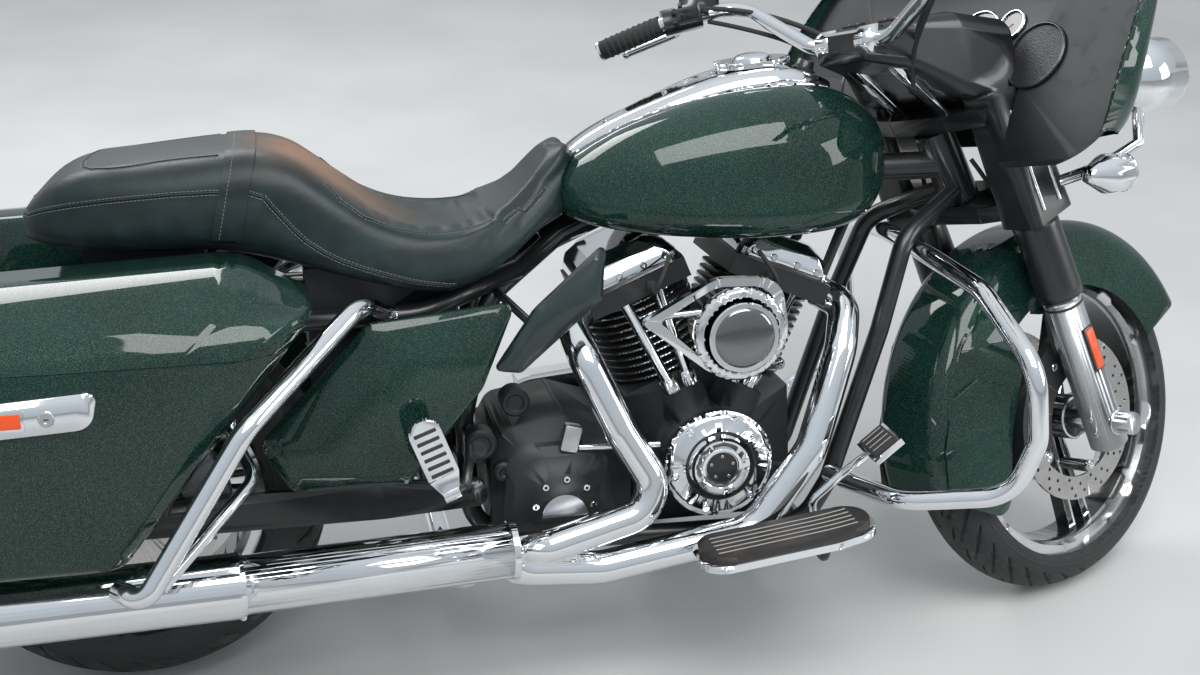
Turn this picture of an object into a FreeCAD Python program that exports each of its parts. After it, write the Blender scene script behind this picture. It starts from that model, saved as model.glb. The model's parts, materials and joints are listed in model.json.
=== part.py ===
import FreeCAD, Part
import math
import os

from FreeCAD import Placement, Rotation, Vector

# A touring cruiser motorcycle, parked on its side stand with the steering on its left stop.
# The pieces are drawn on the upright machine: X forward, Y to its left, Z up, with the origin on
# the ground under the rear axle. At the end every piece gets the pose of the parked machine.

doc = FreeCAD.newDocument("TouringCruiser")

# Driving sizes in millimetres and degrees: name, value, what it measures
SIZES = (
    ("wheelbase", 1625, "rear axle to front axle"),
    ("lean_angle", 10, "lean to the left on the side stand"),
    ("rake_angle", 26, "steering axis from the vertical"),
    ("trail", 170, "ground point of the steering axis ahead of the front axle"),
    ("fork_angle", 22, "fork legs from the vertical"),
    ("steer_stop", 25, "steering lock, each way"),
    ("fit_gap", 0.3, "play between a moving piece and its seat"),
    ("front_tyre_radius", 319, "front tyre, axle to tread"),
    ("front_tyre_half", 65, "front tyre, half its width, also the radius of its crown"),
    ("front_seat_radius", 241.3, "front rim, bead seat"),
    ("front_rim_half", 44.5, "front rim, half its inner width"),
    ("rear_tyre_radius", 320, "rear tyre, axle to tread"),
    ("rear_tyre_half", 90, "rear tyre, half its width, also the radius of its crown"),
    ("rear_seat_radius", 203, "rear rim, bead seat"),
    ("rear_rim_half", 63.5, "rear rim, half its inner width"),
    ("flange_height", 13, "rim flange above the bead seat"),
    ("flange_width", 6, "rim flange thickness"),
    ("rim_depth", 15, "rim band below the bead seat"),
    ("spoke_width", 28, "cast spoke, side to side"),
    ("axle_radius", 12, "both wheel axles"),
    ("axle_play", 0.8, "wheel bore over the axle"),
    ("hub_radius", 40, "wheel hub"),
    ("disc_radius", 150, "front brake disc"),
    ("disc_bore", 108, "front brake disc, inner edge of the ring"),
    ("disc_thickness", 5, "brake discs"),
    ("disc_place", 72, "front disc, inner face from the wheel's middle"),
    ("disc_bolt_radius", 101, "bolt circle of the front discs"),
    ("rear_disc_radius", 146, "rear brake disc"),
    ("rear_disc_place", 104, "rear disc and belt pulley, inner faces from the wheel's middle"),
    ("pulley_radius", 110, "rear belt pulley"),
    ("belt_width", 20, "drive belt and the pulley under it"),
    ("belt_thickness", 5, "drive belt"),
    ("leg_spread", 130, "fork leg from the middle"),
    ("slider_radius", 33.5, "fork slider"),
    ("slider_top", 250, "fork slider above the axle, along the leg"),
    ("slider_foot", 46, "fork slider below the axle"),
    ("fork_tube_radius", 24.5, "fork tube"),
    ("fork_cover_radius", 41, "fork cover above the slider"),
    ("axle_cap_reach", 198, "end of the front axle cap from the middle"),
    ("stem_radius", 24, "steering stem"),
    ("stem_play", 1, "head tube bore over the stem"),
    ("head_wall", 9, "head tube wall"),
    ("head_low", 820, "head tube, lower end, along the steering axis from the ground"),
    ("head_high", 950, "head tube, upper end, along the steering axis from the ground"),
    ("yoke_gap", 7, "head tube to each yoke"),
    ("yoke_thickness", 30, "fork yokes"),
    ("down_tube_radius", 16, "frame tubes"),
    ("backbone_radius", 24, "frame backbone"),
    ("rail_spread", 118, "lower frame rail from the middle"),
    ("rail_height", 200, "lower frame rail above the ground"),
    ("seat_rail_spread", 130, "rear frame rail from the middle"),
    ("seat_rail_height", 622, "rear frame rail above the ground"),
    ("crank_place", 951, "crankshaft ahead of the rear axle"),
    ("crank_height", 345, "crankshaft above the ground"),
    ("vee_half_angle", 22.5, "each cylinder from the vertical"),
    ("case_half", 95, "crankcase, half its width"),
    ("deck_height", 150, "crankshaft to the foot of the cylinders"),
    ("head_deck", 298, "crankshaft to the cylinder heads"),
    ("head_thickness", 34, "cylinder head"),
    ("rocker_height", 48, "rocker cover"),
    ("barrel_radius", 62, "cylinder barrel"),
    ("fin_radius", 96, "cooling fins"),
    ("fin_pitch", 13, "cooling fins, one to the next"),
    ("fin_thickness", 4, "cooling fins"),
    ("cam_radius", 94, "cam chest and its cover"),
    ("cam_chest_reach", 160, "cam chest, outer face from the middle"),
    ("cam_cover_depth", 24, "cam cover"),
    ("primary_reach", 178, "primary cover, outer face from the middle"),
    ("header_radius", 27, "exhaust headers with their shields"),
    ("shield_radius", 45, "shield where the headers join"),
    ("muffler_radius", 50, "mufflers"),
    ("muffler_wall", 3, "muffler shell at its outlet"),
    ("muffler_end", 470, "muffler outlet behind the rear axle"),
    ("arm_inner", 130, "swingarm, inner face from the middle"),
    ("arm_width", 22, "swingarm arm"),
    ("arm_height", 58, "swingarm arm"),
    ("pivot_place", 548, "swingarm pivot ahead of the rear axle"),
    ("shock_radius", 20, "rear shock absorbers"),
    ("fender_wall", 3, "fender metal"),
    ("rear_fender_radius", 358, "rear fender over the axle"),
    ("rear_fender_half", 111, "rear fender, half its width"),
    ("front_fender_radius", 357, "front fender over the axle"),
    ("front_fender_half", 82, "front fender, half its width"),
    ("bag_inner", 195, "saddlebag, inner face from the middle"),
    ("bag_wall", 4, "saddlebag and lid wall"),
    ("bag_seam", 650, "joint of bag and lid above the ground"),
    ("lid_gap", 0.8, "seam between bag and lid"),
    ("guard_radius", 16, "engine guard tube"),
    ("bag_guard_radius", 15.5, "saddlebag guard tube"),
    ("strut_radius", 9.5, "saddlebag guard strut"),
    ("bar_radius", 12.7, "handlebar"),
    ("grip_radius", 17, "handgrips"),
    ("fairing_wall", 5, "fairing shells"),
    ("lamp_radius", 63, "passing lamps"),
    ("headlamp_radius", 92, "headlamp"),
    ("signal_radius", 33, "turn signals"),
    ("board_inner", 254, "floorboard, inner edge from the middle"),
    ("board_width", 108, "floorboard"),
    ("board_thickness", 12, "floorboard plate"),
    ("pad_thickness", 12, "floorboard rubber"),
    ("board_slope", 7, "floorboard, front end up"),
    ("pin_radius", 5, "hinge pins of boards, pegs and stand"),
    ("stand_radius", 12, "side stand leg"),
    ("origin_ahead", 729, "the parked machine's middle, ahead of the rear axle's ground point"),
    ("origin_left", 110, "the parked machine's middle, left of the rear axle's ground point"),
)


class Dim(float):
    """A size that keeps the sheet formula it comes from."""

    def __new__(cls, value, formula):
        size = super().__new__(cls, value)
        size.formula = formula
        return size

    def _join(self, other, sign, value, swap=False):
        first, second = written(self), written(other)
        if swap:
            first, second = second, first
        return Dim(value, f"({first} {sign} {second})")

    def __add__(self, other):
        return self._join(other, "+", float(self) + float(other))

    def __radd__(self, other):
        return self._join(other, "+", float(self) + float(other), swap=True)

    def __sub__(self, other):
        return self._join(other, "-", float(self) - float(other))

    def __rsub__(self, other):
        return self._join(other, "-", float(other) - float(self), swap=True)

    def __mul__(self, other):
        return self._join(other, "*", float(self) * float(other))

    def __rmul__(self, other):
        return self._join(other, "*", float(self) * float(other), swap=True)

    def __truediv__(self, other):
        return self._join(other, "/", float(self) / float(other))

    def __neg__(self):
        return self._join(0, "-", -float(self), swap=True)


def written(value):
    """The formula of a size, or a plain number as text."""
    return value.formula if isinstance(value, Dim) else f"({float(value)!r})"


sheet = doc.addObject("Spreadsheet::Sheet", "Sizes")
for row, (alias, value, note) in enumerate(SIZES, start=1):
    sheet.set(f"A{row}", alias)
    sheet.set(f"B{row}", str(value))
    sheet.set(f"C{row}", note)
    sheet.setAlias(f"B{row}", alias)
doc.recompute()

size = {alias: Dim(value, f"Sizes.{alias}") for alias, value, note in SIZES}
gap = size["fit_gap"]

# Ways an outline can lie: its own X and Y run along the machine's axes named here
SIDE = Rotation(Vector(1, 0, 0), 90)  # X and Z, seen from the right, its normal to the right
CROSS = Rotation(Vector(1, 1, 1), 120)  # Y and Z, seen from the front, its normal forward
PLAN = Rotation()  # X and Y, seen from above, its normal up
RIGHT, LEFT = -1, 1
X_AXIS, Y_AXIS, Z_AXIS = Vector(1, 0, 0), Vector(0, 1, 0), Vector(0, 0, 1)


def spot(point):
    """A point given as a tuple or a vector, as a vector of plain numbers."""
    return Vector(float(point[0]), float(point[1]), float(point[2]))


def bind(item, **values):
    """Set sizes of an object, tied to the sheet where they come from it."""
    for name, value in values.items():
        setattr(item, name, float(value))
        if isinstance(value, Dim):
            item.setExpression(name, value.formula)
    return item


def put(item, at, turn=PLAN):
    """Place an object, its coordinates tied to the sheet where they come from it."""
    item.Placement = Placement(spot(at), turn)
    for axis, value in zip("xyz", at):
        if isinstance(value, Dim):
            item.setExpression(f".Placement.Base.{axis}", value.formula)
    return item


def facing(direction):
    """The turn that points an object's own Z along a direction."""
    return Rotation(Z_AXIS, spot(direction))


def bar(name, start, end, radius):
    """A round bar from one point to another."""
    reach = spot(end) - spot(start)
    item = bind(doc.addObject("Part::Cylinder", name), Radius=radius)
    item.Height = reach.Length
    return put(item, start, facing(reach))


def drum(name, at, direction, radius, height):
    """A round bar of a given height from a point along a direction."""
    item = bind(doc.addObject("Part::Cylinder", name), Radius=radius, Height=height)
    return put(item, at, facing(direction))


def cone(name, start, end, first_radius, last_radius):
    """A tapering round bar."""
    reach = spot(end) - spot(start)
    item = bind(doc.addObject("Part::Cone", name), Radius1=first_radius, Radius2=last_radius)
    item.Height = reach.Length
    return put(item, start, facing(reach))


def ring(name, at, direction, radius, wire_radius):
    """A round ring about a point."""
    item = bind(doc.addObject("Part::Torus", name), Radius1=radius, Radius2=wire_radius)
    return put(item, at, facing(direction))


def ball(name, at, radius):
    """A ball."""
    return put(bind(doc.addObject("Part::Sphere", name), Radius=radius), at)


def block(name, low, high):
    """A box between two opposite corners."""
    corner = tuple(min(a, b) for a, b in zip(low, high))
    item = doc.addObject("Part::Box", name)
    item.Length, item.Width, item.Height = (abs(float(b) - float(a)) for a, b in zip(low, high))
    return put(item, corner)


def tilted_block(name, centre, turn, length, width, height):
    """A box about its centre, turned."""
    item = bind(doc.addObject("Part::Box", name), Length=length, Width=width, Height=height)
    corner = spot(centre) - turn.multVec(Vector(float(length), float(width), float(height)) / 2)
    return put(item, corner, turn)


def union(name, items):
    """One solid made of pieces that touch or overlap."""
    item = doc.addObject("Part::MultiFuse", name)
    item.Shapes = list(items)
    return item


def group(name, items):
    """Pieces that don't touch, as one object."""
    item = doc.addObject("Part::Compound", name)
    item.Links = list(items)
    return item


def cut(name, base, *tools):
    """A piece less what takes its place."""
    for number, tool in enumerate(tools):
        item = doc.addObject("Part::Cut", f"{name}_{number}")
        item.Base, item.Tool = base, tool
        base = item
    return base


def common(name, base, tool):
    """What two pieces share."""
    item = doc.addObject("Part::Common", name)
    item.Base, item.Tool = base, tool
    return item


def rounded(corners):
    """Lines and tangent arcs round a closed outline with corners (u, v, radius)."""
    points = [Vector(float(u), float(v), 0) for u, v, _ in corners]
    ends, arcs = [], []
    for number, (_, _, radius) in enumerate(corners):
        corner = points[number]
        back = points[number - 1] - corner
        ahead = points[(number + 1) % len(points)] - corner
        half = back.getAngle(ahead) / 2
        limit = 0.48 * min(back.Length, ahead.Length) * math.tan(half)
        radius = min(float(radius), limit)
        back.normalize()
        ahead.normalize()
        if radius <= 0:
            ends.append((corner, corner))
            continue
        reach = radius / math.tan(half)
        centre = corner + (back + ahead).normalize() * (radius / math.sin(half))
        middle = centre + (corner - centre).normalize() * radius
        ends.append((corner + back * reach, corner + ahead * reach))
        arcs.append((number, middle))
    edges = []
    middles = dict(arcs)
    for number, (start, end) in enumerate(ends):
        if number in middles:
            edges.append(Part.Arc(start, middles[number], end))
        edges.append(Part.LineSegment(end, ends[(number + 1) % len(ends)][0]))
    return edges


def outline(name, edges, at, view):
    """A closed outline as a sketch."""
    item = doc.addObject("Sketcher::SketchObject", name)
    item.addGeometry(edges, False)
    return put(item, at, view)


def slab(name, corners, at, view, thickness):
    """A flat piece with a rounded outline, as thick as given along the outline's normal."""
    item = doc.addObject("Part::Extrusion", name)
    item.Base = outline(f"{name}_outline", rounded(corners), at, view)
    item.DirMode = "Normal"
    item.Solid = True
    bind(item, LengthFwd=thickness)
    return item


def loft(name, sections, ruled=False):
    """A solid through outlines; each section is (corners, at, view)."""
    item = doc.addObject("Part::Loft", name)
    item.Sections = [
        outline(f"{name}_{number}", rounded(corners), at, view)
        for number, (corners, at, view) in enumerate(sections)
    ]
    item.Solid = True
    item.Ruled = ruled
    return item


def turned(name, edges, at, direction=Y_AXIS, angle=360):
    """A solid of revolution; its outline has the axis as X and the radius as Y."""
    item = doc.addObject("Part::Revolution", name)
    turn = Rotation(X_AXIS, spot(direction))
    item.Source = outline(f"{name}_outline", edges, at, turn)
    item.Base, item.Axis = spot(at), spot(direction)
    item.Angle = angle
    item.Solid = True
    return item


def tube(name, points, radius, bend):
    """A tube of straight runs joined by tangent bends, as one solid."""
    path = [spot(point) for point in points]
    pieces = []
    start = path[0]
    for number in range(1, len(path)):
        corner = path[number]
        run = corner - path[number - 1]
        heading = Vector(run).normalize()
        if number == len(path) - 1:
            pieces.append(bar(f"{name}_run", start, corner, radius))
            break
        onward = path[number + 1] - corner
        turn = heading.getAngle(onward)
        limit = 0.46 * min(run.Length, onward.Length) / math.tan(turn / 2)
        curve = min(float(bend), limit)
        reach = curve * math.tan(turn / 2)
        end = corner - heading * reach
        pieces.append(bar(f"{name}_run", start, end, radius))
        normal = heading.cross(onward).normalize()
        outward = heading.cross(normal).normalize()
        elbow = bind(doc.addObject("Part::Torus", f"{name}_bend"), Radius2=radius)
        elbow.Radius1 = curve
        elbow.Angle3 = math.degrees(turn)
        put(elbow, end - outward * curve, Rotation(outward, heading, normal, "ZXY"))
        pieces.append(elbow)
        start = corner + onward.normalize() * reach
    return union(name, pieces) if len(pieces) > 1 else pieces[0]


def body_sketch(body, name, plane, edges, offset=0):
    """A sketch on one of a body's origin planes, moved along its normal."""
    sketch = body.newObject("Sketcher::SketchObject", name)
    support = next(part for part in body.Origin.OriginFeatures if part.Role == plane)
    sketch.AttachmentSupport = [(support, "")]
    sketch.MapMode = "FlatFace"
    sketch.AttachmentOffset = Placement(Vector(0, 0, float(offset)), Rotation())
    sketch.addGeometry(edges, False)
    return sketch


def body_turn(body, name, edges):
    """A full turn about the body's Y axis; the outline has Y as X and the radius as Y."""
    sketch = body_sketch(body, f"{name}_outline", "YZ_Plane", edges)
    feature = body.newObject("PartDesign::Revolution", name)
    feature.Profile = sketch
    feature.ReferenceAxis = (sketch, ["H_Axis"])
    feature.Angle = 360
    return feature


def body_pad(body, name, edges, start, length, copies=1):
    """A pad across the machine, from Y = -start, repeated round the body's Y axis."""
    sketch = body_sketch(body, f"{name}_outline", "XZ_Plane", edges, start)
    pad = body.newObject("PartDesign::Pad", name)
    pad.Profile = sketch
    bind(pad, Length=length)
    if copies > 1:
        pattern = body.newObject("PartDesign::PolarPattern", f"{name}_pattern")
        pattern.Originals = [pad]
        pattern.Axis = (sketch, ["N_Axis"])
        pattern.Angle = 360
        pattern.Occurrences = copies
        body.Tip = pattern
    return pad


def closed(points):
    """Straight edges round a closed outline."""
    corners = [Vector(float(u), float(v), 0) for u, v in points]
    return [Part.LineSegment(a, b) for a, b in zip(corners, corners[1:] + corners[:1])]


def circle(u, v, radius):
    """A full circle as an outline."""
    return [Part.Circle(Vector(float(u), float(v), 0), Z_AXIS, float(radius))]


NODES = []


def publish(label, host, *items):
    """Name a finished piece and note which part of the machine carries it."""
    node = group(label, items)
    NODES.append((node, host))
    return node


# Steering geometry
RAKE = math.radians(size["rake_angle"])
STEER_AXIS = Vector(-math.sin(RAKE), 0, math.cos(RAKE))
STEER_FOOT = Vector(size["wheelbase"] + size["trail"], 0, 0)
FORK = math.radians(size["fork_angle"])
LEG_AXIS = Vector(-math.sin(FORK), 0, math.cos(FORK))
FRONT_AXLE = (size["wheelbase"], 0, size["front_tyre_radius"])
REAR_AXLE = (0, 0, size["rear_tyre_radius"])


def steer_point(distance):
    """A point on the steering axis, by its distance from the ground along it."""
    return STEER_FOOT + STEER_AXIS * float(distance)


def leg_point(side, distance):
    """A point in a fork leg, by its distance from the axle along it."""
    return Vector(*FRONT_AXLE) + Y_AXIS * (side * size["leg_spread"]) + LEG_AXIS * float(distance)


# Wheels, drawn about their own centres with the axle along Y
def tyre(label, centre, radius, half, seat, rim_half):
    """A tyre with a round crown, down to its bead seats."""
    inner = seat + gap
    flange = seat + size["flange_height"] + 2 * gap
    wall = rim_half - gap
    crown = radius - half
    shoulder = math.sqrt(half**2 - (flange - crown) ** 2)
    corners = [(-shoulder, flange), (-wall, flange), (-wall, inner), (wall, inner)]
    corners += [(wall, flange), (shoulder, flange)]
    points = [Vector(float(u), float(v), 0) for u, v in corners]
    edges = [Part.LineSegment(a, b) for a, b in zip(points, points[1:])]
    edges.append(Part.Arc(points[-1], Vector(0, float(radius), 0), points[0]))
    body = doc.addObject("PartDesign::Body", f"{label}_body")
    body_turn(body, f"{label}_turn", edges)
    return put(body, centre)


def rim(label, centre, seat, half, hub_half, spoke_table):
    """A cast wheel: band with flanges, hub, and five split spokes.

    Each row of the spoke table is radius, near edge, far edge, of one of a spoke's two legs.
    """
    body = doc.addObject("PartDesign::Body", f"{label}_body")
    top, low = seat + size["flange_height"], seat - size["rim_depth"]
    out = half + size["flange_width"]
    band = [(-out, top), (-half, top), (-half, seat), (half, seat), (half, top), (out, top)]
    band += [(out, seat - 4), (0.6 * out, low), (-0.6 * out, low), (-out, seat - 4)]
    body_turn(body, f"{label}_band", closed(band))
    bore = size["axle_radius"] + size["axle_play"]
    hub = [(-hub_half, bore), (-hub_half, size["hub_radius"]), (hub_half, size["hub_radius"])]
    hub += [(hub_half, bore)]
    (inner, near, far), (outer, rim_near, rim_far) = spoke_table
    width = size["spoke_width"]
    legs = []
    for sign in (-1, 1):
        legs += closed(
            [(inner, sign * near), (outer, sign * rim_near), (outer, sign * rim_far), (inner, sign * far)]
        )
    body_pad(body, f"{label}_spokes", legs, width / 2 * -1, width, copies=5)
    body_turn(body, f"{label}_hub", closed(hub))
    return put(body, centre)


front_tyre = tyre(
    "front_tyre",
    FRONT_AXLE,
    size["front_tyre_radius"],
    size["front_tyre_half"],
    size["front_seat_radius"],
    size["front_rim_half"],
)
publish("front_tyre", "front_wheel", front_tyre)
rear_tyre = tyre(
    "rear_tyre",
    REAR_AXLE,
    size["rear_tyre_radius"],
    size["rear_tyre_half"],
    size["rear_seat_radius"],
    size["rear_rim_half"],
)
publish("rear_tyre", "rear_wheel", rear_tyre)

front_hub_half = size["disc_place"]
front_rim = rim(
    "front_rim",
    FRONT_AXLE,
    size["front_seat_radius"],
    size["front_rim_half"],
    front_hub_half,
    ((30, 5, 20), (size["front_seat_radius"] - size["rim_depth"] + 2, 12, 31)),
)
front_bosses = [
    drum("disc_boss", boss, Y_AXIS * side, 11, size["disc_place"] - 10)
    for side in (RIGHT, LEFT)
    for angle in range(0, 360, 72)
    for boss in [
        spot(FRONT_AXLE)
        + Rotation(Y_AXIS, -angle).multVec(Vector(size["disc_bolt_radius"], 0, 0))
        + Y_AXIS * (side * 10)
    ]
]
publish("front_rim", "front_wheel", union("front_wheel_casting", [front_rim] + front_bosses))

rear_hub_half = size["rear_disc_place"]
rear_rim = rim(
    "rear_rim",
    REAR_AXLE,
    size["rear_seat_radius"],
    size["rear_rim_half"],
    rear_hub_half,
    ((30, 5, 20), (size["rear_seat_radius"] - size["rim_depth"] + 2, 12, 28)),
)


def disc(label, centre, start, radius, bore, lobes):
    """A brake disc; lobes are the mounting ears inside the ring."""
    body = doc.addObject("PartDesign::Body", f"{label}_body")
    thickness = size["disc_thickness"]
    body_pad(body, f"{label}_ring", circle(0, 0, radius) + circle(0, 0, bore), start, thickness)
    if lobes:
        ear = circle(size["disc_bolt_radius"], 0, 12)
        body_pad(body, f"{label}_ears", ear, start, thickness, copies=5)
    return put(body, centre)


front_discs = [
    disc(
        f"front_disc_{name}",
        FRONT_AXLE,
        place,
        size["disc_radius"],
        size["disc_bore"],
        True,
    )
    for name, place in (
        ("right", size["disc_place"]),
        ("left", -size["disc_place"] - size["disc_thickness"]),
    )
]
publish("front_discs", "front_wheel", *front_discs)

rear_disc = disc(
    "rear_disc", REAR_AXLE, size["rear_disc_place"], size["rear_disc_radius"], size["hub_radius"] - 8, False
)
publish("rear_disc", "rear_wheel", rear_disc)

# Rear belt pulley: a dished wheel with two edges that keep the belt in place
pulley_start = size["rear_disc_place"]
pulley_end = pulley_start + size["belt_width"]
pulley_outline = [
    (pulley_start, size["hub_radius"] - 8),
    (pulley_start, size["pulley_radius"]),
    (pulley_end, size["pulley_radius"]),
    (pulley_end, size["pulley_radius"] - 14),
    (pulley_start + 8, size["pulley_radius"] - 20),
    (pulley_start + 8, size["hub_radius"] - 8),
]
rear_pulley = turned("belt_pulley", closed(pulley_outline), REAR_AXLE)
publish("rear_rim", "rear_wheel", union("rear_wheel_casting", [rear_rim, rear_pulley]))

# Frame: head tube, backbone, two down tubes that run on as the lower rails, and the seat rails
tube_r = size["down_tube_radius"]
rail_y, rail_z = size["rail_spread"], size["rail_height"]
seat_rail_y, seat_rail_z = size["seat_rail_spread"], size["seat_rail_height"]
pivot_x = size["pivot_place"]
head_bore = size["stem_radius"] + size["stem_play"]
head_low, head_high = steer_point(size["head_low"]), steer_point(size["head_high"])
head_middle = (head_low + head_high) / 2
head_outside = bar("head_tube", head_low, head_high, head_bore + size["head_wall"])
head_hole = bar(
    "head_bore", steer_point(size["head_low"] - 5), steer_point(size["head_high"] + 5), head_bore
)
backbone_points = [head_middle, (900, 0, 792), (690, 0, 700)]
frame_pieces = [head_outside, tube("backbone", backbone_points, size["backbone_radius"], 120)]
for side in (RIGHT, LEFT):
    low_mount = head_low + STEER_AXIS * 22
    down = [
        (low_mount.x, side * 12, low_mount.z),
        (1300, side * 85, 690),
        (1250, side * 112, 538),
        (1165, side * rail_y, 275),
        (1120, side * rail_y, rail_z),
        (620, side * 92, rail_z),
        (pivot_x, side * 80, 250),
        (pivot_x - 6, side * 80, 430),
        (590, side * 76, 630),
        (720, side * 8, 712),
    ]
    frame_pieces.append(tube("cradle_tube", down, tube_r, 70))
    rail = [
        (640, side * 60, 668),
        (470, side * seat_rail_y, seat_rail_z),
        (-60, side * seat_rail_y, seat_rail_z),
    ]
    frame_pieces.append(tube("seat_rail", rail, tube_r, 120))
    for x in (-40, 100):
        boss_end = size["rear_fender_half"]
        boss_start, boss_stop = (x, side * boss_end, seat_rail_z), (x, side * seat_rail_y, seat_rail_z)
        frame_pieces.append(bar("fender_boss", boss_start, boss_stop, 11))
for x, y, z in ((430, seat_rail_y, seat_rail_z), (1120, rail_y, rail_z)):
    frame_pieces.append(bar("cross_tube", (x, -y, z), (x, y, z), 11))
axle_r = size["axle_radius"]
pivot_hole = bar(
    "pivot_hole",
    (pivot_x, -150, size["rear_tyre_radius"]),
    (pivot_x, 150, size["rear_tyre_radius"]),
    axle_r + 0.2,
)
frame = cut("frame_shape", union("frame_tubes", frame_pieces), head_hole, pivot_hole)
publish("frame_cradle", "chassis", frame)

# Engine: crankcase, two finned cylinders, rocker covers, pushrod tubes and cam chest
crank = Vector(size["crank_place"], 0, size["crank_height"])
VEE = math.radians(size["vee_half_angle"])
case_half = size["case_half"]


def bank(lean):
    """Direction of a cylinder and the direction across it; lean is 1 forward, -1 back."""
    along = Vector(lean * math.sin(VEE), 0, math.cos(VEE))
    across = Vector(math.cos(VEE), 0, -lean * math.sin(VEE))
    return along, across


def bank_turn(lean):
    """The turn that stands an upright piece on a cylinder's axis."""
    along, across = bank(lean)
    return Rotation(across, Y_AXIS, along, "ZXY")


front_along, front_across = bank(1)
rear_along, rear_across = bank(-1)
deck = size["deck_height"]
deck_half = size["fin_radius"] - 4
front_deck = crank + front_along * deck + front_across * deck_half
rear_deck = crank + rear_along * deck - rear_across * deck_half
valley = crank + Z_AXIS * (deck / math.cos(VEE))
case_outline = [
    (rear_deck.x, rear_deck.z, 6),
    (valley.x, valley.z, 4),
    (front_deck.x, front_deck.z, 6),
    (crank.x + 150, crank.z - 60, 60),
    (crank.x + 100, rail_z + tube_r + 4, 30),
    (crank.x - 118, rail_z + tube_r + 4, 20),
    (crank.x - 130, crank.z - 40, 40),
]
case_block = slab("case_block", case_outline, (0, case_half, 0), SIDE, case_half * 2)
chest_reach = size["cam_chest_reach"]
chest_start = (crank.x, -case_half + 4, crank.z)
chest = drum("cam_chest", chest_start, -Y_AXIS, size["cam_radius"], chest_reach - case_half + 4)
lifters = [
    tilted_block(
        "lifter_block",
        crank + bank(lean)[0] * 108 + Y_AXIS * -122,
        bank_turn(lean),
        62,
        58,
        44,
    )
    for lean in (-1, 1)
]
engine_mount = block("front_engine_mount", (crank.x + 90, -60, rail_z + 30), (1118, 60, rail_z + 62))
crankcase_pieces = union("crankcase_pieces", [case_block, chest, engine_mount] + lifters)
crankcase = cut("crankcase_shape", crankcase_pieces, frame)
publish("crankcase", "chassis", crankcase)

barrels, covers, tubes = [], [], []
fin_count = 11
for lean, name in ((-1, "rear"), (1, "front")):
    along, across = bank(lean)
    foot = crank + along * float(deck)
    head_foot = crank + along * float(size["head_deck"])
    pieces = [drum(f"{name}_barrel", foot, along, size["barrel_radius"], size["head_deck"] - deck)]
    for number in range(fin_count):
        fin_foot = foot + along * (6 + number * float(size["fin_pitch"]))
        pieces.append(drum(f"{name}_fin", fin_foot, along, size["fin_radius"], size["fin_thickness"]))
    valley_block = tilted_block(
        f"{name}_valley", crank + Vector(-lean * 100, 0, 230), PLAN, 196, 240, 240
    )
    finned = cut(f"{name}_finned", union(f"{name}_fins", pieces), valley_block)
    head_thickness = size["head_thickness"]
    head = tilted_block(
        f"{name}_head",
        head_foot + along * (head_thickness / 2),
        bank_turn(lean),
        176,
        226,
        head_thickness,
    )
    barrels.append(union(f"{name}_cylinder", [finned, head]))
    cover_foot = head_foot + along * float(head_thickness)
    cover_rows = ((0, 84, 104), (14, 84, 104), (34, 72, 94), (size["rocker_height"], 50, 74))
    sections = [
        (
            [(-x, -y, 18), (x, -y, 18), (x, y, 18), (-x, y, 18)],
            cover_foot + along * float(rise),
            bank_turn(lean),
        )
        for rise, x, y in cover_rows
    ]
    covers.append(loft(f"{name}_rocker_cover", sections, ruled=True))
    for offset in (-16, 16):
        low = crank + along * 130 + across * offset - Y_AXIS * 122
        high = head_foot + across * (offset * 1.9) - Y_AXIS * 106
        tubes.append(bar(f"{name}_pushrod_tube", low, high, 9))
        collar = crank + along * 130 + across * offset - Y_AXIS * 122
        tubes.append(bar(f"{name}_pushrod_collar", collar, collar + (high - low).normalize() * 26, 14))
publish("cylinders", "chassis", *barrels)
publish("rocker_covers", "chassis", *covers)
pushrod_tubes = [union("pushrod_tube", tubes[n : n + 2]) for n in range(0, len(tubes), 2)]
pushrods = [cut("pushrod", item, barrels[n // 2], crankcase) for n, item in enumerate(pushrod_tubes)]

cam_depth = size["cam_cover_depth"]
cam_edges = closed(
    [
        (0, 0),
        (0, size["cam_radius"] - 2),
        (cam_depth - 10, size["cam_radius"] - 2),
        (cam_depth, size["cam_radius"] - 14),
        (cam_depth, 50),
        (cam_depth + 12, 47),
        (cam_depth + 12, 35),
        (cam_depth + 8, 33),
        (cam_depth + 8, 0),
    ]
)
cam_cover = turned("cam_cover_turn", cam_edges, (crank.x, -chest_reach, crank.z), -Y_AXIS)
publish("cam_cover_and_pushrod_tubes", "chassis", cam_cover, *pushrods)

# Primary drive cover on the left, with its two round covers
clutch = Vector(700, 0, 322)


def drive_outline(inset):
    """Outline round the crankshaft and the clutch, drawn in by an inset."""
    front, rear = 116 - inset, 98 - inset
    return [
        (clutch.x - rear, clutch.z - rear, rear),
        (crank.x + front, crank.z - front, front),
        (crank.x + front, crank.z + front, front),
        (clutch.x - rear, clutch.z + rear, rear),
    ]


primary_reach = size["primary_reach"]
primary_rows = ((case_half, 0), (primary_reach - 22, 0), (primary_reach - 6, 8), (primary_reach, 22))
primary = loft(
    "primary_case",
    [(drive_outline(inset), (0, y, 0), SIDE) for y, inset in primary_rows],
    ruled=True,
)
belt_pocket = block("belt_pocket", (580, 90, 264), (674, 132, 384))
clutch_cap = drum("clutch_cap", (clutch.x, primary_reach - 1, clutch.z), Y_AXIS, 66, 8)
chain_cap = drum("chain_cap", (crank.x - 20, primary_reach - 1, crank.z), Y_AXIS, 40, 7)
primary_shape = cut("primary_shape", union("primary_pieces", [primary, clutch_cap, chain_cap]), belt_pocket)
publish("primary_cover", "chassis", primary_shape)

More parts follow.
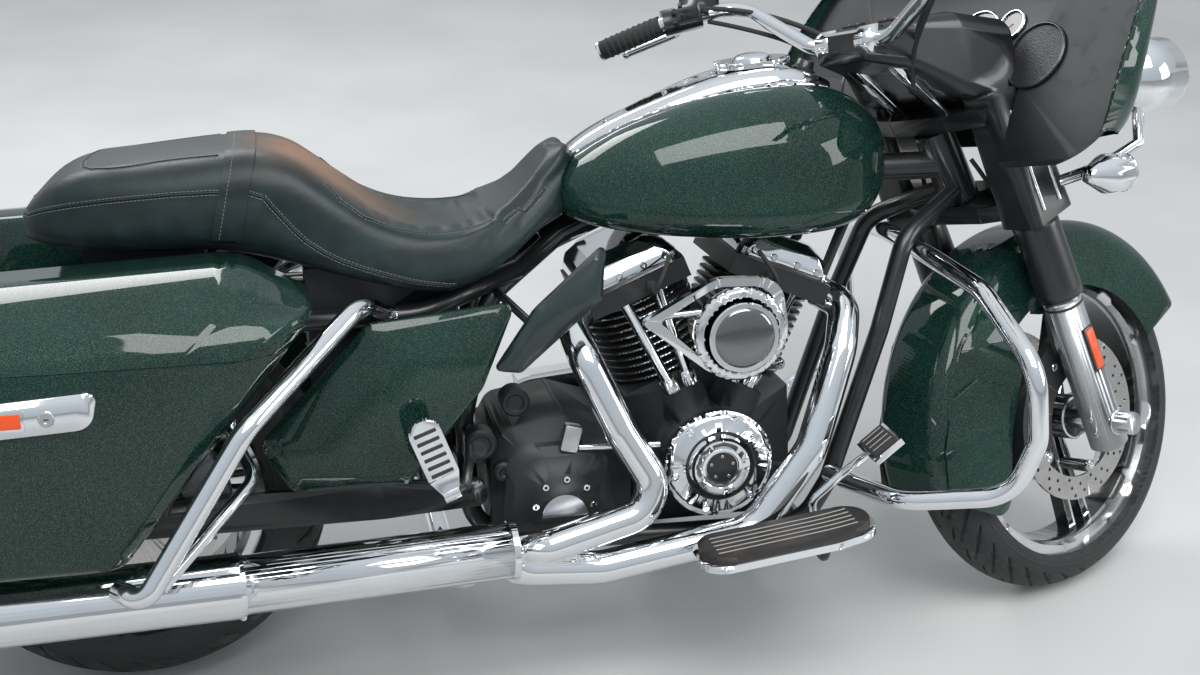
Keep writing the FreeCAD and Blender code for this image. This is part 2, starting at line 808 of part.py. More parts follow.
# Gearbox behind the crankcase, with its side cover, oil pan and filler
gear_front = crank.x - 140
gearbox_outline = [
    (578, 226, 16),
    (gear_front - 1, 226, 6),
    (gear_front - 1, 400, 20),
    (700, 436, 20),
    (600, 420, 30),
    (578, 380, 20),
]
gearbox_block = slab("gearbox_block", gearbox_outline, (0, 70, 0), SIDE, 205)
side_rows = ((134, 100, 0), (156, 100, 0), (170, 84, 0))
gearbox_side = loft(
    "gearbox_side",
    [
        (
            [
                (684 - r, 300 - 0.72 * r, 40),
                (684 + r, 300 - 0.72 * r, 40),
                (684 + 0.8 * r, 300 + 0.95 * r, 50),
                (684 - 0.8 * r, 300 + 0.95 * r, 50),
            ],
            (0, -y, 0),
            SIDE,
        )
        for y, r, _ in side_rows
    ],
    ruled=True,
)
release_cover = cut(
    "release_cover",
    drum("release_disc", (690, -169, 292), -Y_AXIS, 58, 9),
    block("release_low", (600, -190, 200), (780, -160, 268)),
)
pan = block("oil_pan", (600, -70, 190), (gear_front - 1, 70, 230))
gearbox = cut(
    "gearbox_shape",
    union("gearbox_pieces", [gearbox_block, gearbox_side, release_cover, pan]),
    frame,
    crankcase,
    primary,
)

# Air cleaner on the right: intake elbow, filter body with a domed window, chrome ring and teardrop
air = Vector(964, 0, 586)
air_edges = closed([(0, 0), (0, 52), (14, 62), (92, 62), (104, 50), (116, 46), (124, 26), (126, 0)])
filter_body = turned("filter_body", air_edges, (air.x, -136, air.z), -Y_AXIS)
intake = bar("intake", (air.x - 8, -40, air.z + 8), (air.x, -140, air.z), 26)
air_body = cut("air_cleaner_shape", union("air_cleaner_pieces", [filter_body, intake]), *barrels)
publish("air_cleaner_body", "chassis", air_body)
ring_edges = closed([(0, 63), (0, 74), (14, 76), (24, 70), (26, 62), (22, 52), (16, 52), (16, 63)])
air_ring = turned("air_ring", ring_edges, (air.x, -224, air.z), -Y_AXIS)


def teardrop(inset):
    """Outline of the air cleaner's trim, from its rear tip round its front, drawn in by an inset."""
    return [
        (air.x - 160 + 2.2 * inset, air.z + 27, 6),
        (air.x - 40, air.z + 92 - inset, 60),
        (air.x + 66 - inset, air.z + 88 - inset, 44),
        (air.x + 82 - inset, air.z - 10, 60),
        (air.x + 30, air.z - 82 + inset, 70),
        (air.x - 50, air.z - 60 + inset, 60),
    ]


drop = cut(
    "teardrop",
    slab("teardrop_outer", teardrop(0), (0, -222, 0), SIDE, 16),
    slab("teardrop_inner", teardrop(13), (0, -220, 0), SIDE, 20),
)
strap_bends = ((-60, 38), (-110, 36), (-146, 27))
strap = tube("air_strap", [(air.x + u, -230, air.z + v) for u, v in strap_bends], 5, 30)
air_trim = cut("air_cleaner_trim_shape", union("air_trim_pieces", [drop, air_ring, strap]), filter_body)
publish("air_cleaner_trim", "chassis", air_trim)

# Exhaust: two headers that join under a long shield, a crossover under the gearbox, two mufflers
header_r = size["header_radius"]
rear_header = [
    (752, -72, 603),
    (714, -116, 588),
    (726, -178, 545),
    (778, -203, 428),
    (852, -222, 300),
    (652, -234, 252),
    (560, -256, 262),
]
front_header = [
    (1150, -72, 603),
    (1186, -112, 586),
    (1162, -162, 525),
    (1100, -208, 372),
    (1000, -219, 240),
    (739, -230, 206),
    (600, -240, 222),
    (560, -256, 258),
]
shield_front, shield_rear = (590, -254, 263), (168, -291, 264)
crossover = [
    (590, -240, 245),
    (505, -180, 184),
    (505, 180, 184),
    (430, 270, 240),
    (360, 284, 264),
]
left_shield_front = (400, 279, 262)
exhaust_pieces = [
    tube("rear_header", rear_header, header_r, 62),
    tube("front_header", front_header, header_r, 90),
    bar("right_shield", shield_front, shield_rear, size["shield_radius"]),
    tube("crossover", crossover, 21, 60),
    bar("left_shield", left_shield_front, (168, 291, 264), size["shield_radius"]),
]
exhaust = cut("exhaust_shape", union("exhaust_fused", exhaust_pieces), *barrels, *covers)
publish("exhaust_pipes", "chassis", exhaust)
mufflers = []
for side, name in ((RIGHT, "right"), (LEFT, "left")):
    front, rear = (174, side * 290.5, 264), (-size["muffler_end"], side * 312, 260)
    shell = bar(f"{name}_muffler_shell", front, rear, size["muffler_radius"])
    inside = (-size["muffler_end"] + 130, side * 307.6, 261)
    outlet = bar(
        f"{name}_muffler_bore",
        inside,
        (-size["muffler_end"] - 20, side * 312.7, 260),
        size["muffler_radius"] - size["muffler_wall"] - 4,
    )
    mufflers.append(cut(f"{name}_muffler", shell, exhaust, outlet))
publish("mufflers", "chassis", *mufflers)

# Fuel tank with its chrome console and the fuel door
# Columns: place along the machine, half width, bottom, top, corner radii below and above
TANK = (
    (700, 58, 764, 806, 16, 20),
    (752, 120, 742, 852, 36, 56),
    (850, 164, 727, 903, 42, 104),
    (980, 184, 718, 941, 44, 140),
    (1100, 180, 717, 952, 44, 136),
    (1200, 142, 728, 930, 42, 110),
    (1262, 76, 772, 874, 30, 46),
)


def body_sections(rows, grow=0):
    """Cross sections of a long body from rows of place, half width, bottom, top and radii."""
    sections = []
    for x, half, low, high, low_radius, high_radius in rows:
        half, low, high = half + grow, low - grow, high + grow
        corners = [
            (-half, low, low_radius),
            (half, low, low_radius),
            (0.9 * half, high, high_radius),
            (-0.9 * half, high, high_radius),
        ]
        sections.append((corners, (x, 0, 0), CROSS))
    return sections


tank_outside = loft("tank_outside", body_sections(TANK))
tunnel = block("tank_tunnel", (640, -30, 650), (1400, 30, 792))
tank = cut("fuel_tank_shape", tank_outside, tunnel, frame)
publish("fuel_tank", "chassis", tank)

# Columns as for the tank
CONSOLE = (
    (712, 20, 780, 826, 6, 10),
    (800, 34, 820, 893, 8, 18),
    (930, 60, 860, 948, 10, 26),
    (1040, 74, 870, 975, 10, 30),
    (1130, 66, 870, 968, 10, 26),
    (1176, 40, 870, 950, 8, 16),
)
console_outside = loft("console_outside", body_sections(CONSOLE))
door_turn = Rotation(Y_AXIS, -5)
door_middle = Vector(1050, 0, 977)
door_gap = 0.5


def door_outline(grow):
    """Outline of the fuel door, an oval."""
    long, wide = 64 + grow, 44 + grow
    return [(-long, -wide, wide), (long, -wide, wide), (long, wide, wide), (-long, wide, wide)]


door = slab("fuel_door_slab", door_outline(0), door_middle, door_turn, 9)
door_well = slab("door_well", door_outline(0.6), door_middle + Vector(0, 0, -door_gap), door_turn, 30)
console = cut("tank_console_shape", console_outside, tank_outside, door_well)
publish("tank_console", "chassis", console)
publish("fuel_door", "fuel_door", door)

# Battery tray under the seat, and the bracket that carries the passenger's end of it
tray_top, bracket_top = 700, 734
tray = cut("tray_shape", block("tray_block", (300, -110, 510), (536, 110, tray_top)), frame)

# Rear fender, a trough bent round the wheel
fender_wall = size["fender_wall"]


def trough(half, radius, skirt, corner):
    """Cross section of a fender: across the machine and out from the axle."""
    return rounded(
        [
            (-half, skirt, 0),
            (-half, radius, corner),
            (half, radius, corner),
            (half, skirt, 0),
            (half - fender_wall, skirt, 0),
            (half - fender_wall, radius - fender_wall, corner - fender_wall),
            (-half + fender_wall, radius - fender_wall, corner - fender_wall),
            (-half + fender_wall, skirt, 0),
        ]
    )


def fender(name, edges, axle, start, sweep):
    """A trough turned about an axle; angles run from the rear, up and over to the front."""
    item = doc.addObject("Part::Revolution", name)
    turn = Rotation(Y_AXIS, start).multiply(Rotation(X_AXIS, Y_AXIS))
    item.Source = outline(f"{name}_outline", edges, axle, turn)
    item.Base, item.Axis = spot(axle), Y_AXIS
    item.Angle = sweep
    item.Solid = True
    return item


rear_trough = trough(size["rear_fender_half"], size["rear_fender_radius"], 262, 52)
rear_fender = fender("rear_fender_turn", rear_trough, REAR_AXLE, -12, 132)
publish("rear_fender", "chassis", rear_fender)
bracket = cut("bracket_shape", block("bracket_block", (-30, -60, 640), (150, 60, bracket_top)), rear_fender)
bracket_void = turned("bracket_void", closed([(-130, 0), (-130, 356), (130, 356), (130, 0)]), REAR_AXLE)
seat_bracket = cut("seat_bracket", bracket, bracket_void)
publish("battery_tray", "chassis", tray, seat_bracket)

# Seat: the rider's dish and the passenger's pad in one cushion; columns as for the tank
SEAT = (
    (-112, 78, 764, 802, 14, 22),
    (-70, 118, 752, 842, 26, 40),
    (40, 146, 742, 874, 34, 56),
    (180, 156, 736, 886, 36, 60),
    (270, 162, 716, 882, 36, 60),
    (345, 176, 694, 838, 34, 58),
    (430, 184, 672, 778, 32, 46),
    (520, 180, 660, 760, 32, 40),
    (610, 150, 690, 778, 28, 34),
    (690, 98, 742, 838, 20, 28),
    (736, 50, 802, 858, 12, 18),
)
cushion = loft("cushion", body_sections(SEAT))
seat_gap = size["fit_gap"]
seat_tunnel = block("seat_tunnel", (170, -132, 600), (640, 132, tray_top + seat_gap))
pad_tunnel = block("pad_tunnel", (-140, -112, 600), (180, 112, bracket_top + seat_gap))
seat = cut("seat_shape", cushion, seat_tunnel, pad_tunnel, tank_outside, console_outside)
publish("seat", "chassis", seat)

# Side covers and the air deflectors between engine and seat, on studs from the frame
SIDE_COVER = ((386, 634, 16), (614, 654, 14), (560, 520, 60), (437, 369, 18), (258, 372, 22), (212, 452, 30))
DEFLECTOR = ((756, 742, 8), (750, 652, 16), (616, 538, 12), (574, 545, 8), (640, 640, 80))


def drawn_in(corners, inset):
    """The same outline with each corner moved towards the middle by an inset."""
    middle_u = sum(u for u, _, _ in corners) / len(corners)
    middle_v = sum(v for _, v, _ in corners) / len(corners)
    moved = []
    for u, v, radius in corners:
        away = math.hypot(u - middle_u, v - middle_v)
        moved.append((u - inset * (u - middle_u) / away, v - inset * (v - middle_v) / away, radius))
    return moved


side_covers, deflectors, studs = [], [], []
for side, name in ((RIGHT, "right"), (LEFT, "left")):
    rows = ((204, 0), (212, 2), (220, 14))
    side_covers.append(
        loft(
            f"{name}_side_cover",
            [(drawn_in(SIDE_COVER, inset), (0, side * y, 0), SIDE) for y, inset in rows],
            ruled=True,
        )
    )
    rows = ((206, 0), (216, 3), (222, 12))
    deflectors.append(
        loft(
            f"{name}_deflector",
            [(drawn_in(DEFLECTOR, inset), (0, side * y, 0), SIDE) for y, inset in rows],
            ruled=True,
        )
    )
    stud_root = (410, side * (seat_rail_y + 6), seat_rail_z)
    studs.append(bar(f"{name}_cover_stud", stud_root, (410, side * 204, seat_rail_z - 4), 7))
    studs.append(bar(f"{name}_deflector_stud", (600, side * 82, 640), (650, side * 206, 602), 7))
publish("side_covers", "chassis", *side_covers)
publish("mid_deflectors", "chassis", *deflectors)

# Saddlebags: one hollow pod a side, split into the bag and its lid
# Columns: share of the depth, top, how much the outline is drawn in, how far the front is drawn back
BAG = (
    (0.0, 746, 10, 0),
    (0.04, 758, 0, 0),
    (0.45, 755, 0, 0),
    (0.70, 735, 0, 8),
    (0.89, 702, 0, 34),
    (0.965, 678, 6, 60),
    (1.0, 656, 18, 86),
)
bag_inner, bag_depth = size["bag_inner"], 220
bag_wall, bag_seam = size["bag_wall"], size["bag_seam"]


def pod(name, side, inset):
    """The outside of a bag with its lid, or its inside when drawn in by the wall."""
    sections = []
    for share, top, trim, back in BAG:
        y = bag_inner + inset + share * (bag_depth - 2 * inset)
        low, high = 352 + trim + inset, top - inset
        nose = min(690, high - 6)
        corners = [
            (-425 + trim + inset, low, 45),
            (-440 + trim + inset, high - 26, 60),
            (205 - back, high, 110),
            (312 - back - trim - inset, nose, 16),
            (286 - back - trim - inset, min(660, nose - 12), 16),
            (32 - back / 3 - inset, low, 46),
        ]
        sections.append((corners, (0, side * y, 0), SIDE))
    return loft(name, sections, ruled=True)


bags, lids = [], []
for side, name in ((RIGHT, "right"), (LEFT, "left")):
    shell = cut(f"{name}_pod", pod(f"{name}_pod_outside", side, 0), pod(f"{name}_pod_inside", side, bag_wall))
    under = block(f"{name}_under_seam", (-460, side * 150, 300), (360, side * 450, bag_seam))
    over = block(f"{name}_over_seam", (-460, side * 150, bag_seam + size["lid_gap"]), (360, side * 450, 800))
    bags.append(common(f"{name}_bag", shell, under))
    lids.append(common(f"{name}_lid", shell, over))
    publish(f"lid_{name}", f"lid_{name}", lids[-1])
publish("saddlebags", "chassis", *bags)
bag_mounts = [
    bar("bag_mount", (x, side * (seat_rail_y + 6), seat_rail_z), (x, side * bag_inner, seat_rail_z), 8)
    for side in (RIGHT, LEFT)
    for x in (-40, 170)
]
bag_mount_bars = cut("bag_mount_bars", group("bag_mount_group", bag_mounts), frame, *bags)
bag_outer = bag_inner + bag_depth
latch_rows = ((0, 0), (4, 1), (7, 6))
LATCH = ((-260, 560, 26), (2, 572, 26), (14, 624, 12), (-250, 610, 20))
latches = [
    loft(
        f"{name}_latch",
        [(drawn_in(LATCH, inset), (0, side * (bag_outer + y), 0), SIDE) for y, inset in latch_rows],
        ruled=True,
    )
    for side, name in ((RIGHT, "right"), (LEFT, "left"))
]
publish("bag_latches", "chassis", *latches)

# Guards: the engine guard's loop and the bag guards with their struts
guard_half = [
    (1165, rail_y + 4, 290),
    (1190, 190, 292),
    (1226, 300, 302),
    (1371, 388, 332),
    (1398, 408, 429),
    (1386, 408, 548),
    (1356, 270, 640),
    (1326, 60, 668),
]
engine_guard_points = [(x, -y, z) for x, y, z in guard_half] + [(x, y, z) for x, y, z in reversed(guard_half)]
engine_guard_tube = tube("engine_guard_tube", engine_guard_points, size["guard_radius"], 80)
engine_guard = cut("engine_guard_shape", engine_guard_tube, frame)
publish("engine_guard", "chassis", engine_guard)
bag_guards = []
for side, name in ((RIGHT, "right"), (LEFT, "left")):
    main = tube(
        f"{name}_bag_guard",
        [
            (424, side * 136, 626),
            (404, side * 176, 645),
            (374, side * 226, 668),
            (200, side * 396, 545),
            (48, side * 434, 318),
            (10, side * 400, 326),
        ],
        size["bag_guard_radius"],
        60,
    )
    strut = tube(
        f"{name}_guard_strut",
        [(70, side * 420, 330), (205, side * 250, 418), (170, side * 172, 470), (190, side * 134, 616)],
        size["strut_radius"],
        40,
    )
    bag_guards.append(union(f"{name}_guard", [main, strut]))
bag_guards_shape = cut("bag_guards_shape", group("bag_guard_pair", bag_guards), frame)
publish("saddlebag_guards", "chassis", bag_guards_shape)
side_studs = cut(
    "side_studs", group("stud_group", studs), frame, *side_covers, *deflectors, bag_guards_shape
)

# Swingarm with its axle and pivot, shock absorbers, drive belt and rear brake caliper
axle_z = size["rear_tyre_radius"]
arm_inner, arm_width = size["arm_inner"], size["arm_width"]
arm_outer = arm_inner + arm_width
arm_half = size["arm_height"] / 2
arm_outline = [
    (-46, axle_z - arm_half + 2, 24),
    (400, axle_z - arm_half, 60),
    (pivot_x + 20, axle_z - 20, 18),
    (pivot_x + 20, axle_z + 20, 18),
    (400, axle_z + arm_half, 60),
    (-46, axle_z + arm_half - 2, 24),
]
arm_pieces = [
    slab("right_arm", arm_outline, (0, -arm_inner, 0), SIDE, arm_width),
    slab("left_arm", arm_outline, (0, arm_outer, 0), SIDE, arm_width),
    bar("rear_axle", (0, -arm_outer - 10, axle_z), (0, arm_outer + 10, axle_z), axle_r),
    bar("arm_pivot", (pivot_x, -arm_outer - 6, axle_z), (pivot_x, arm_outer + 6, axle_z), axle_r),
    bar("arm_cross", (488, -arm_inner - 2, axle_z), (488, arm_inner + 2, axle_z), 24),
]
hub_face = size["rear_disc_place"] + 2 * gap
for side in (RIGHT, LEFT):
    spacer_start, spacer_stop = (0, side * hub_face, axle_z), (0, side * (arm_inner + 2), axle_z)
    arm_pieces.append(bar("axle_spacer", spacer_start, spacer_stop, 20))
publish("swingarm", "chassis", union("swingarm_shape", arm_pieces))

shock_low_x, shock_low_z = 52, axle_z + 20
shock_high_x, shock_high_z = 122, 598
shock_y = arm_outer + size["shock_radius"] + 1
shocks = []
for side in (RIGHT, LEFT):
    low = Vector(shock_low_x, side * shock_y, shock_low_z)
    high = Vector(shock_high_x, side * shock_y, shock_high_z)
    up = (high - low).normalize()
    high_eye = (high.x, side * (seat_rail_y + 4), high.z)
    shocks.append(
        union(
            "shock_absorber",
            [
                bar("shock_eye", (low.x, side * arm_outer, low.z), (low.x, side * (shock_y + 14), low.z), 14),
                bar("shock_eye", high_eye, (high.x, side * (shock_y + 14), high.z), 14),
                bar("shock_body", low + up * 6, low + up * 150, size["shock_radius"]),
                bar("shock_rod", low + up * 140, high - up * 6, size["shock_radius"] - 6),
            ],
        )
    )
publish("rear_shocks", "chassis", cut("shocks_shape", group("shock_pair", shocks), frame))

sprocket = Vector(620, 0, 322)
sprocket_radius = 42


def belt_outline(grow):
    """Outline of the belt's loop round its pulley and sprocket: tangent lines and two arcs."""
    big, small = float(size["pulley_radius"]) + grow, sprocket_radius + grow
    reach = sprocket.x
    drop = math.asin((big - small) / reach)
    ends = []
    for centre_x, centre_z, radius in ((0, float(axle_z), big), (sprocket.x, sprocket.z, small)):
        for sign in (1, -1):
            touch_x = centre_x + radius * math.sin(drop)
            ends.append(Vector(touch_x, centre_z + sign * radius * math.cos(drop), 0))
    top_big, low_big, top_small, low_small = ends
    rear_tip = Vector(-big, float(axle_z), 0)
    front_tip = Vector(sprocket.x + small, sprocket.z, 0)
    return [
        Part.LineSegment(top_big, top_small),
        Part.Arc(top_small, front_tip, low_small),
        Part.LineSegment(low_small, low_big),
        Part.Arc(low_big, rear_tip, top_big),
    ]


def belt_loop(name, grow, start, width):
    """A slab as wide as given with the belt's outline grown."""
    item = doc.addObject("Part::Extrusion", name)
    item.Base = outline(f"{name}_outline", belt_outline(grow), (0, start, 0), SIDE)
    item.DirMode = "Normal"
    item.Solid = True
    bind(item, LengthFwd=width)
    return item


belt_start = pulley_end - 1
belt_span = size["belt_width"] - 2
belt = cut(
    "belt_shape",
    belt_loop("belt_outside", float(gap) + float(size["belt_thickness"]), belt_start, belt_span),
    belt_loop("belt_inside", float(gap), belt_start + 5, belt_span + 10),
)
publish("drive_belt", "chassis", belt)
sprocket_face = (sprocket.x, pulley_end, sprocket.z)
belt_sprocket = bar("sprocket_wheel", (sprocket.x, 66, sprocket.z), sprocket_face, sprocket_radius)
publish("gearbox", "chassis", gearbox, cut("sprocket_shape", belt_sprocket, gearbox))


def sector(centre_x, centre_z, inner, outer, start, end):
    """Outline of a piece of a ring, between two angles from straight ahead, upwards."""
    def at(radius, degrees):
        angle = math.radians(degrees)
        return Vector(centre_x + radius * math.cos(angle), centre_z + radius * math.sin(angle), 0)

    middle = (start + end) / 2
    return [
        Part.Arc(at(outer, start), at(outer, middle), at(outer, end)),
        Part.LineSegment(at(outer, end), at(inner, end)),
        Part.Arc(at(inner, end), at(inner, middle), at(inner, start)),
        Part.LineSegment(at(inner, start), at(outer, start)),
    ]


def caliper(name, centre, side, place, disc_edge, rows):
    """A brake caliper that straddles a disc; place is the disc's inner face from the middle.

    Rows give inner radius, start and end of the depth from the disc's middle, first and last angle.
    """
    pieces = []
    middle = place + size["disc_thickness"] / 2
    for number, (inner, start, end, first, last) in enumerate(rows):
        piece = doc.addObject("Part::Extrusion", f"{name}_{number}")
        high = max(side * (middle + start), side * (middle + end))
        edges = sector(float(centre[0]), float(centre[2]), inner, disc_edge + 20, first, last)
        piece.Base = outline(f"{name}_{number}_outline", edges, (0, high, 0), SIDE)
        piece.DirMode = "Normal"
        piece.Solid = True
        bind(piece, LengthFwd=end - start)
        pieces.append(piece)
    return union(name, pieces)


rear_edge = float(size["rear_disc_radius"])
caliper_reach = float(arm_inner - size["rear_disc_place"] - size["disc_thickness"] / 2)
rear_caliper = caliper(
    "rear_caliper_shape",
    REAR_AXLE,
    RIGHT,
    size["rear_disc_place"],
    rear_edge,
    (
        (96, 8, caliper_reach, 8, 64),
        (96, -19, -8, 8, 64),
        (rear_edge + 7, -19, caliper_reach, 8, 64),
    ),
)
publish("rear_caliper", "chassis", rear_caliper)

# Tail: stop lamp, turn signals on their bar, and the blank plate with its holder
tail = tilted_block("tail_lamp_block", (-306, 0, 562), Rotation(Y_AXIS, 50), 96, 150, 60)
tail_void_outline = closed(
    [(-200, 0), (-200, size["rear_fender_radius"]), (200, size["rear_fender_radius"]), (200, 0)]
)
tail_void = turned("tail_void", tail_void_outline, REAR_AXLE)
signal_r = size["signal_radius"]
tail_bar = bar("tail_bar", (-352, -118, 520), (-352, 118, 520), 8)
tail_signals = []
for side in (RIGHT, LEFT):
    rim_at = (-330, side * 122, 520)
    tail_signals.append(bar("tail_signal", (-372, side * 122, 520), rim_at, signal_r))
    tail_signals.append(cone("tail_signal_back", rim_at, (-306, side * 122, 520), signal_r, 12))
bar_post = block("tail_post", (-352, -14, 506), (-300, 14, 534))
tail_pieces = union("tail_pieces", [tail, tail_bar, bar_post] + tail_signals)
tail_lamps = cut("tail_lamps_shape", tail_pieces, tail_void)
plate_turn = Rotation(Y_AXIS, 12)
plate = tilted_block("plate", (-384, 0, 412), plate_turn, 4, 190, 115)
plate_post = block("plate_post", (-382, -30, 380), (-340, 30, 436))
plate_shape = cut("plate_shape", union("plate_pieces", [plate, plate_post]), tail_void)
publish("tail_lamps", "chassis", tail_lamps, plate_shape)

# Floorboards on folding hinges, with brackets from the lower rails
board_turn = Rotation(Y_AXIS, -float(size["board_slope"]))
board_inner, board_width = size["board_inner"], size["board_width"]
board_plate, pad_plate = size["board_thickness"], size["pad_thickness"]
pin_r = size["pin_radius"]
board_middle_x, board_pin_z = 1028, 240
pin_inset, pin_drop = 10, 9
board_supports = []
for side, name in ((RIGHT, "right"), (LEFT, "left")):
    pin_y = side * (board_inner + pin_inset)
    middle = Vector(board_middle_x, pin_y, board_pin_z)
    along = board_turn.multVec(X_AXIS)
    up = board_turn.multVec(Z_AXIS)
    corner = middle - Y_AXIS * (side * pin_inset) + up * pin_drop
    shape_corners = [(-150, 0, 34), (148, 0, 44), (148, 92, 46), (70, 108, 90), (-150, 108, 46)]
    board_corners = [(u, side * v * board_width / 108, r) for u, v, r in shape_corners]
    plate = slab(f"{name}_board_plate", board_corners, corner, board_turn, board_plate)
    lugs, ends = [], []
    for offset in (-70, 82):
        foot = middle + along * offset
        support = tube(
            f"{name}_board_support",
            [(foot.x, side * rail_y, rail_z), (foot.x, pin_y, rail_z - 4), (foot.x, pin_y, foot.z)],
            8,
            14,
        )
        pin = bar(f"{name}_board_pin", foot - along * 22, foot + along * 22, pin_r)
        board_supports.append(union(f"{name}_board_bracket", [support, pin]))
        for reach in (-16.5, 16.5):
            lug = tilted_block(f"{name}_board_lug", foot + along * reach + up * 2.5, board_turn, 9, 16, 13)
            lugs.append(lug)
        ends.append(bar(f"{name}_board_bore", foot - along * 24, foot + along * 24, pin_r + gap))
    board = cut(f"{name}_board", union(f"{name}_board_pieces", [plate] + lugs), *ends)
    publish(f"board_{name}", f"board_{name}", board)
    pad_corners = drawn_in(board_corners, 9)
    pad = slab(f"{name}_board_pad", pad_corners, corner + up * float(board_plate), board_turn, pad_plate)
    publish(f"board_pad_{name}", f"board_{name}", pad)
supports = cut("board_supports_shape", group("board_support_group", board_supports), frame)

brake_arm_path = [(1112, -226, 200), (1096, -226, 286), (1146, -229, 330), (1194, -250, 378)]
brake_arm = tube("brake_arm", brake_arm_path, 7, 20)
brake_pad = tilted_block("brake_pad", (1198, -262, 390), Rotation(Y_AXIS, -38), 56, 76, 12)
shift_middle = (1093, 226, 292)
toe_arm = bar("toe_arm", shift_middle, (1194, 240, 372), 7)
heel_arm = bar("heel_arm", shift_middle, (896, 236, 330), 7)
shift_foot = bar("shift_foot", (1112, 226, 200), shift_middle, 6.5)
shift_hub = bar("shift_hub", (1093, 214, 292), (1093, 238, 292), 11)
toe_peg = bar("toe_peg", (1194, 232, 374), (1194, 296, 374), 10)
heel_peg = bar("heel_peg", (896, 228, 332), (896, 290, 332), 10)
brake_pedal = union("brake_pedal", [brake_arm, brake_pad])
shifter = union("shifter", [toe_arm, heel_arm, shift_hub, shift_foot, toe_peg, heel_peg])
pedals = group("pedals", [brake_pedal, shifter])
publish("foot_controls", "chassis", cut("pedals_shape", pedals, supports))

# Passenger pegs, folded up against their brackets
peg_up = Vector(-0.35, 0, 0.937).normalize()
peg_supports = []
for side, name in ((RIGHT, "right"), (LEFT, "left")):
    hinge = Vector(498, side * 262, 370)
    axis = peg_up.cross(Y_AXIS * side)
    face = Rotation(axis, peg_up, Y_AXIS * side, "ZXY")
    hub = bar(f"{name}_peg_hub", hinge - axis * 13, hinge + axis * 13, 11)
    paddle = slab(
        f"{name}_peg_paddle",
        [(-12, 2, 4), (12, 2, 4), (25, 34, 14), (25, 130, 22), (-25, 130, 22), (-25, 34, 14)],
        hinge - Y_AXIS * (side * 7),
        face,
        14,
    )
    bore = bar(f"{name}_peg_bore", hinge - axis * 30, hinge + axis * 30, pin_r + gap)
    peg = cut(f"{name}_peg", union(f"{name}_peg_pieces", [hub, paddle]), bore)
    publish(f"peg_{name}", f"peg_{name}", peg)
    holder = hinge - axis * (23 * side)
    arm = tube(f"{name}_peg_arm", [(545, side * 88, 415), (534, side * 200, 398), holder], 8, 30)
    pin = bar(f"{name}_peg_pin", holder, hinge + axis * (15 * side), pin_r)
    peg_supports.append(union(f"{name}_peg_bracket", [arm, pin]))
peg_brackets = cut("peg_brackets_shape", group("peg_bracket_pair", peg_supports), frame)

# Fork, yokes and stem; everything from here to the fender turns with the steering
YOKE_VIEW = Rotation(Vector(math.cos(RAKE), 0, math.sin(RAKE)), Y_AXIS, STEER_AXIS, "ZXY")
LEG_VIEW = Rotation(Vector(math.cos(FORK), 0, math.sin(FORK)), Y_AXIS, LEG_AXIS, "ZXY")
front_axle_z = size["front_tyre_radius"]
cap_start = size["leg_spread"] + size["slider_radius"] - 3
axle_ends = [(size["wheelbase"], side * cap_start, front_axle_z) for side in (RIGHT, LEFT)]
slider_pieces = [bar("front_axle", axle_ends[0], axle_ends[1], axle_r)]
for side in (RIGHT, LEFT):
    at = leg_point(side, -size["slider_foot"])
    slider_length = size["slider_foot"] + size["slider_top"]
    slider_pieces.append(drum("slider", at, LEG_AXIS, size["slider_radius"], slider_length))
    slider_pieces.append(
        bar(
            "axle_cap",
            (size["wheelbase"], side * cap_start, front_axle_z),
            (size["wheelbase"], side * size["axle_cap_reach"], front_axle_z),
            20,
        )
    )
    slider_pieces.append(
        bar(
            "axle_spacer",
            (size["wheelbase"], side * (front_hub_half + 2 * gap), front_axle_z),
            (size["wheelbase"], side * (size["leg_spread"] - size["slider_radius"] + 4), front_axle_z),
            20,
        )
    )
sliders = union("sliders_shape", slider_pieces)
publish("fork_sliders", "steering", sliders)

tube_top = 634
tubes, covers_up = [], []
for side in (RIGHT, LEFT):
    tube_ends = leg_point(side, size["slider_top"]), leg_point(side, tube_top)
    tubes.append(bar("fork_tube", *tube_ends, size["fork_tube_radius"]))
    cover_ends = leg_point(side, size["slider_top"] + 5), leg_point(side, 404)
    cover_radius = size["fork_cover_radius"]
    covers_up.append(cone("fork_cover", *cover_ends, cover_radius, cover_radius - 3))
fork_tubes = [union("fork_leg", [tubes[n], covers_up[n]]) for n in (0, 1)]
publish("fork_tubes", "steering", *fork_tubes)

YOKE = ((-36, 62, 18), (-36, -62, 18), (-12, -172, 30), (66, -172, 38), (66, 172, 38), (-12, 172, 30))
low_yoke_at = steer_point(size["head_low"] - size["yoke_gap"] - size["yoke_thickness"])
high_yoke_at = steer_point(size["head_high"] + size["yoke_gap"])
stem = bar("stem", low_yoke_at, high_yoke_at + STEER_AXIS * 6, size["stem_radius"])
high_yoke = [(u + 8, v, r) for u, v, r in YOKE]
yoke_pieces = [
    slab("low_yoke", YOKE, low_yoke_at, YOKE_VIEW, size["yoke_thickness"]),
    slab("high_yoke", high_yoke, high_yoke_at, YOKE_VIEW, size["yoke_thickness"]),
    stem,
]
yokes = cut("yokes_shape", union("yoke_pieces", yoke_pieces), *tubes)
publish("fork_yokes", "steering", yokes)

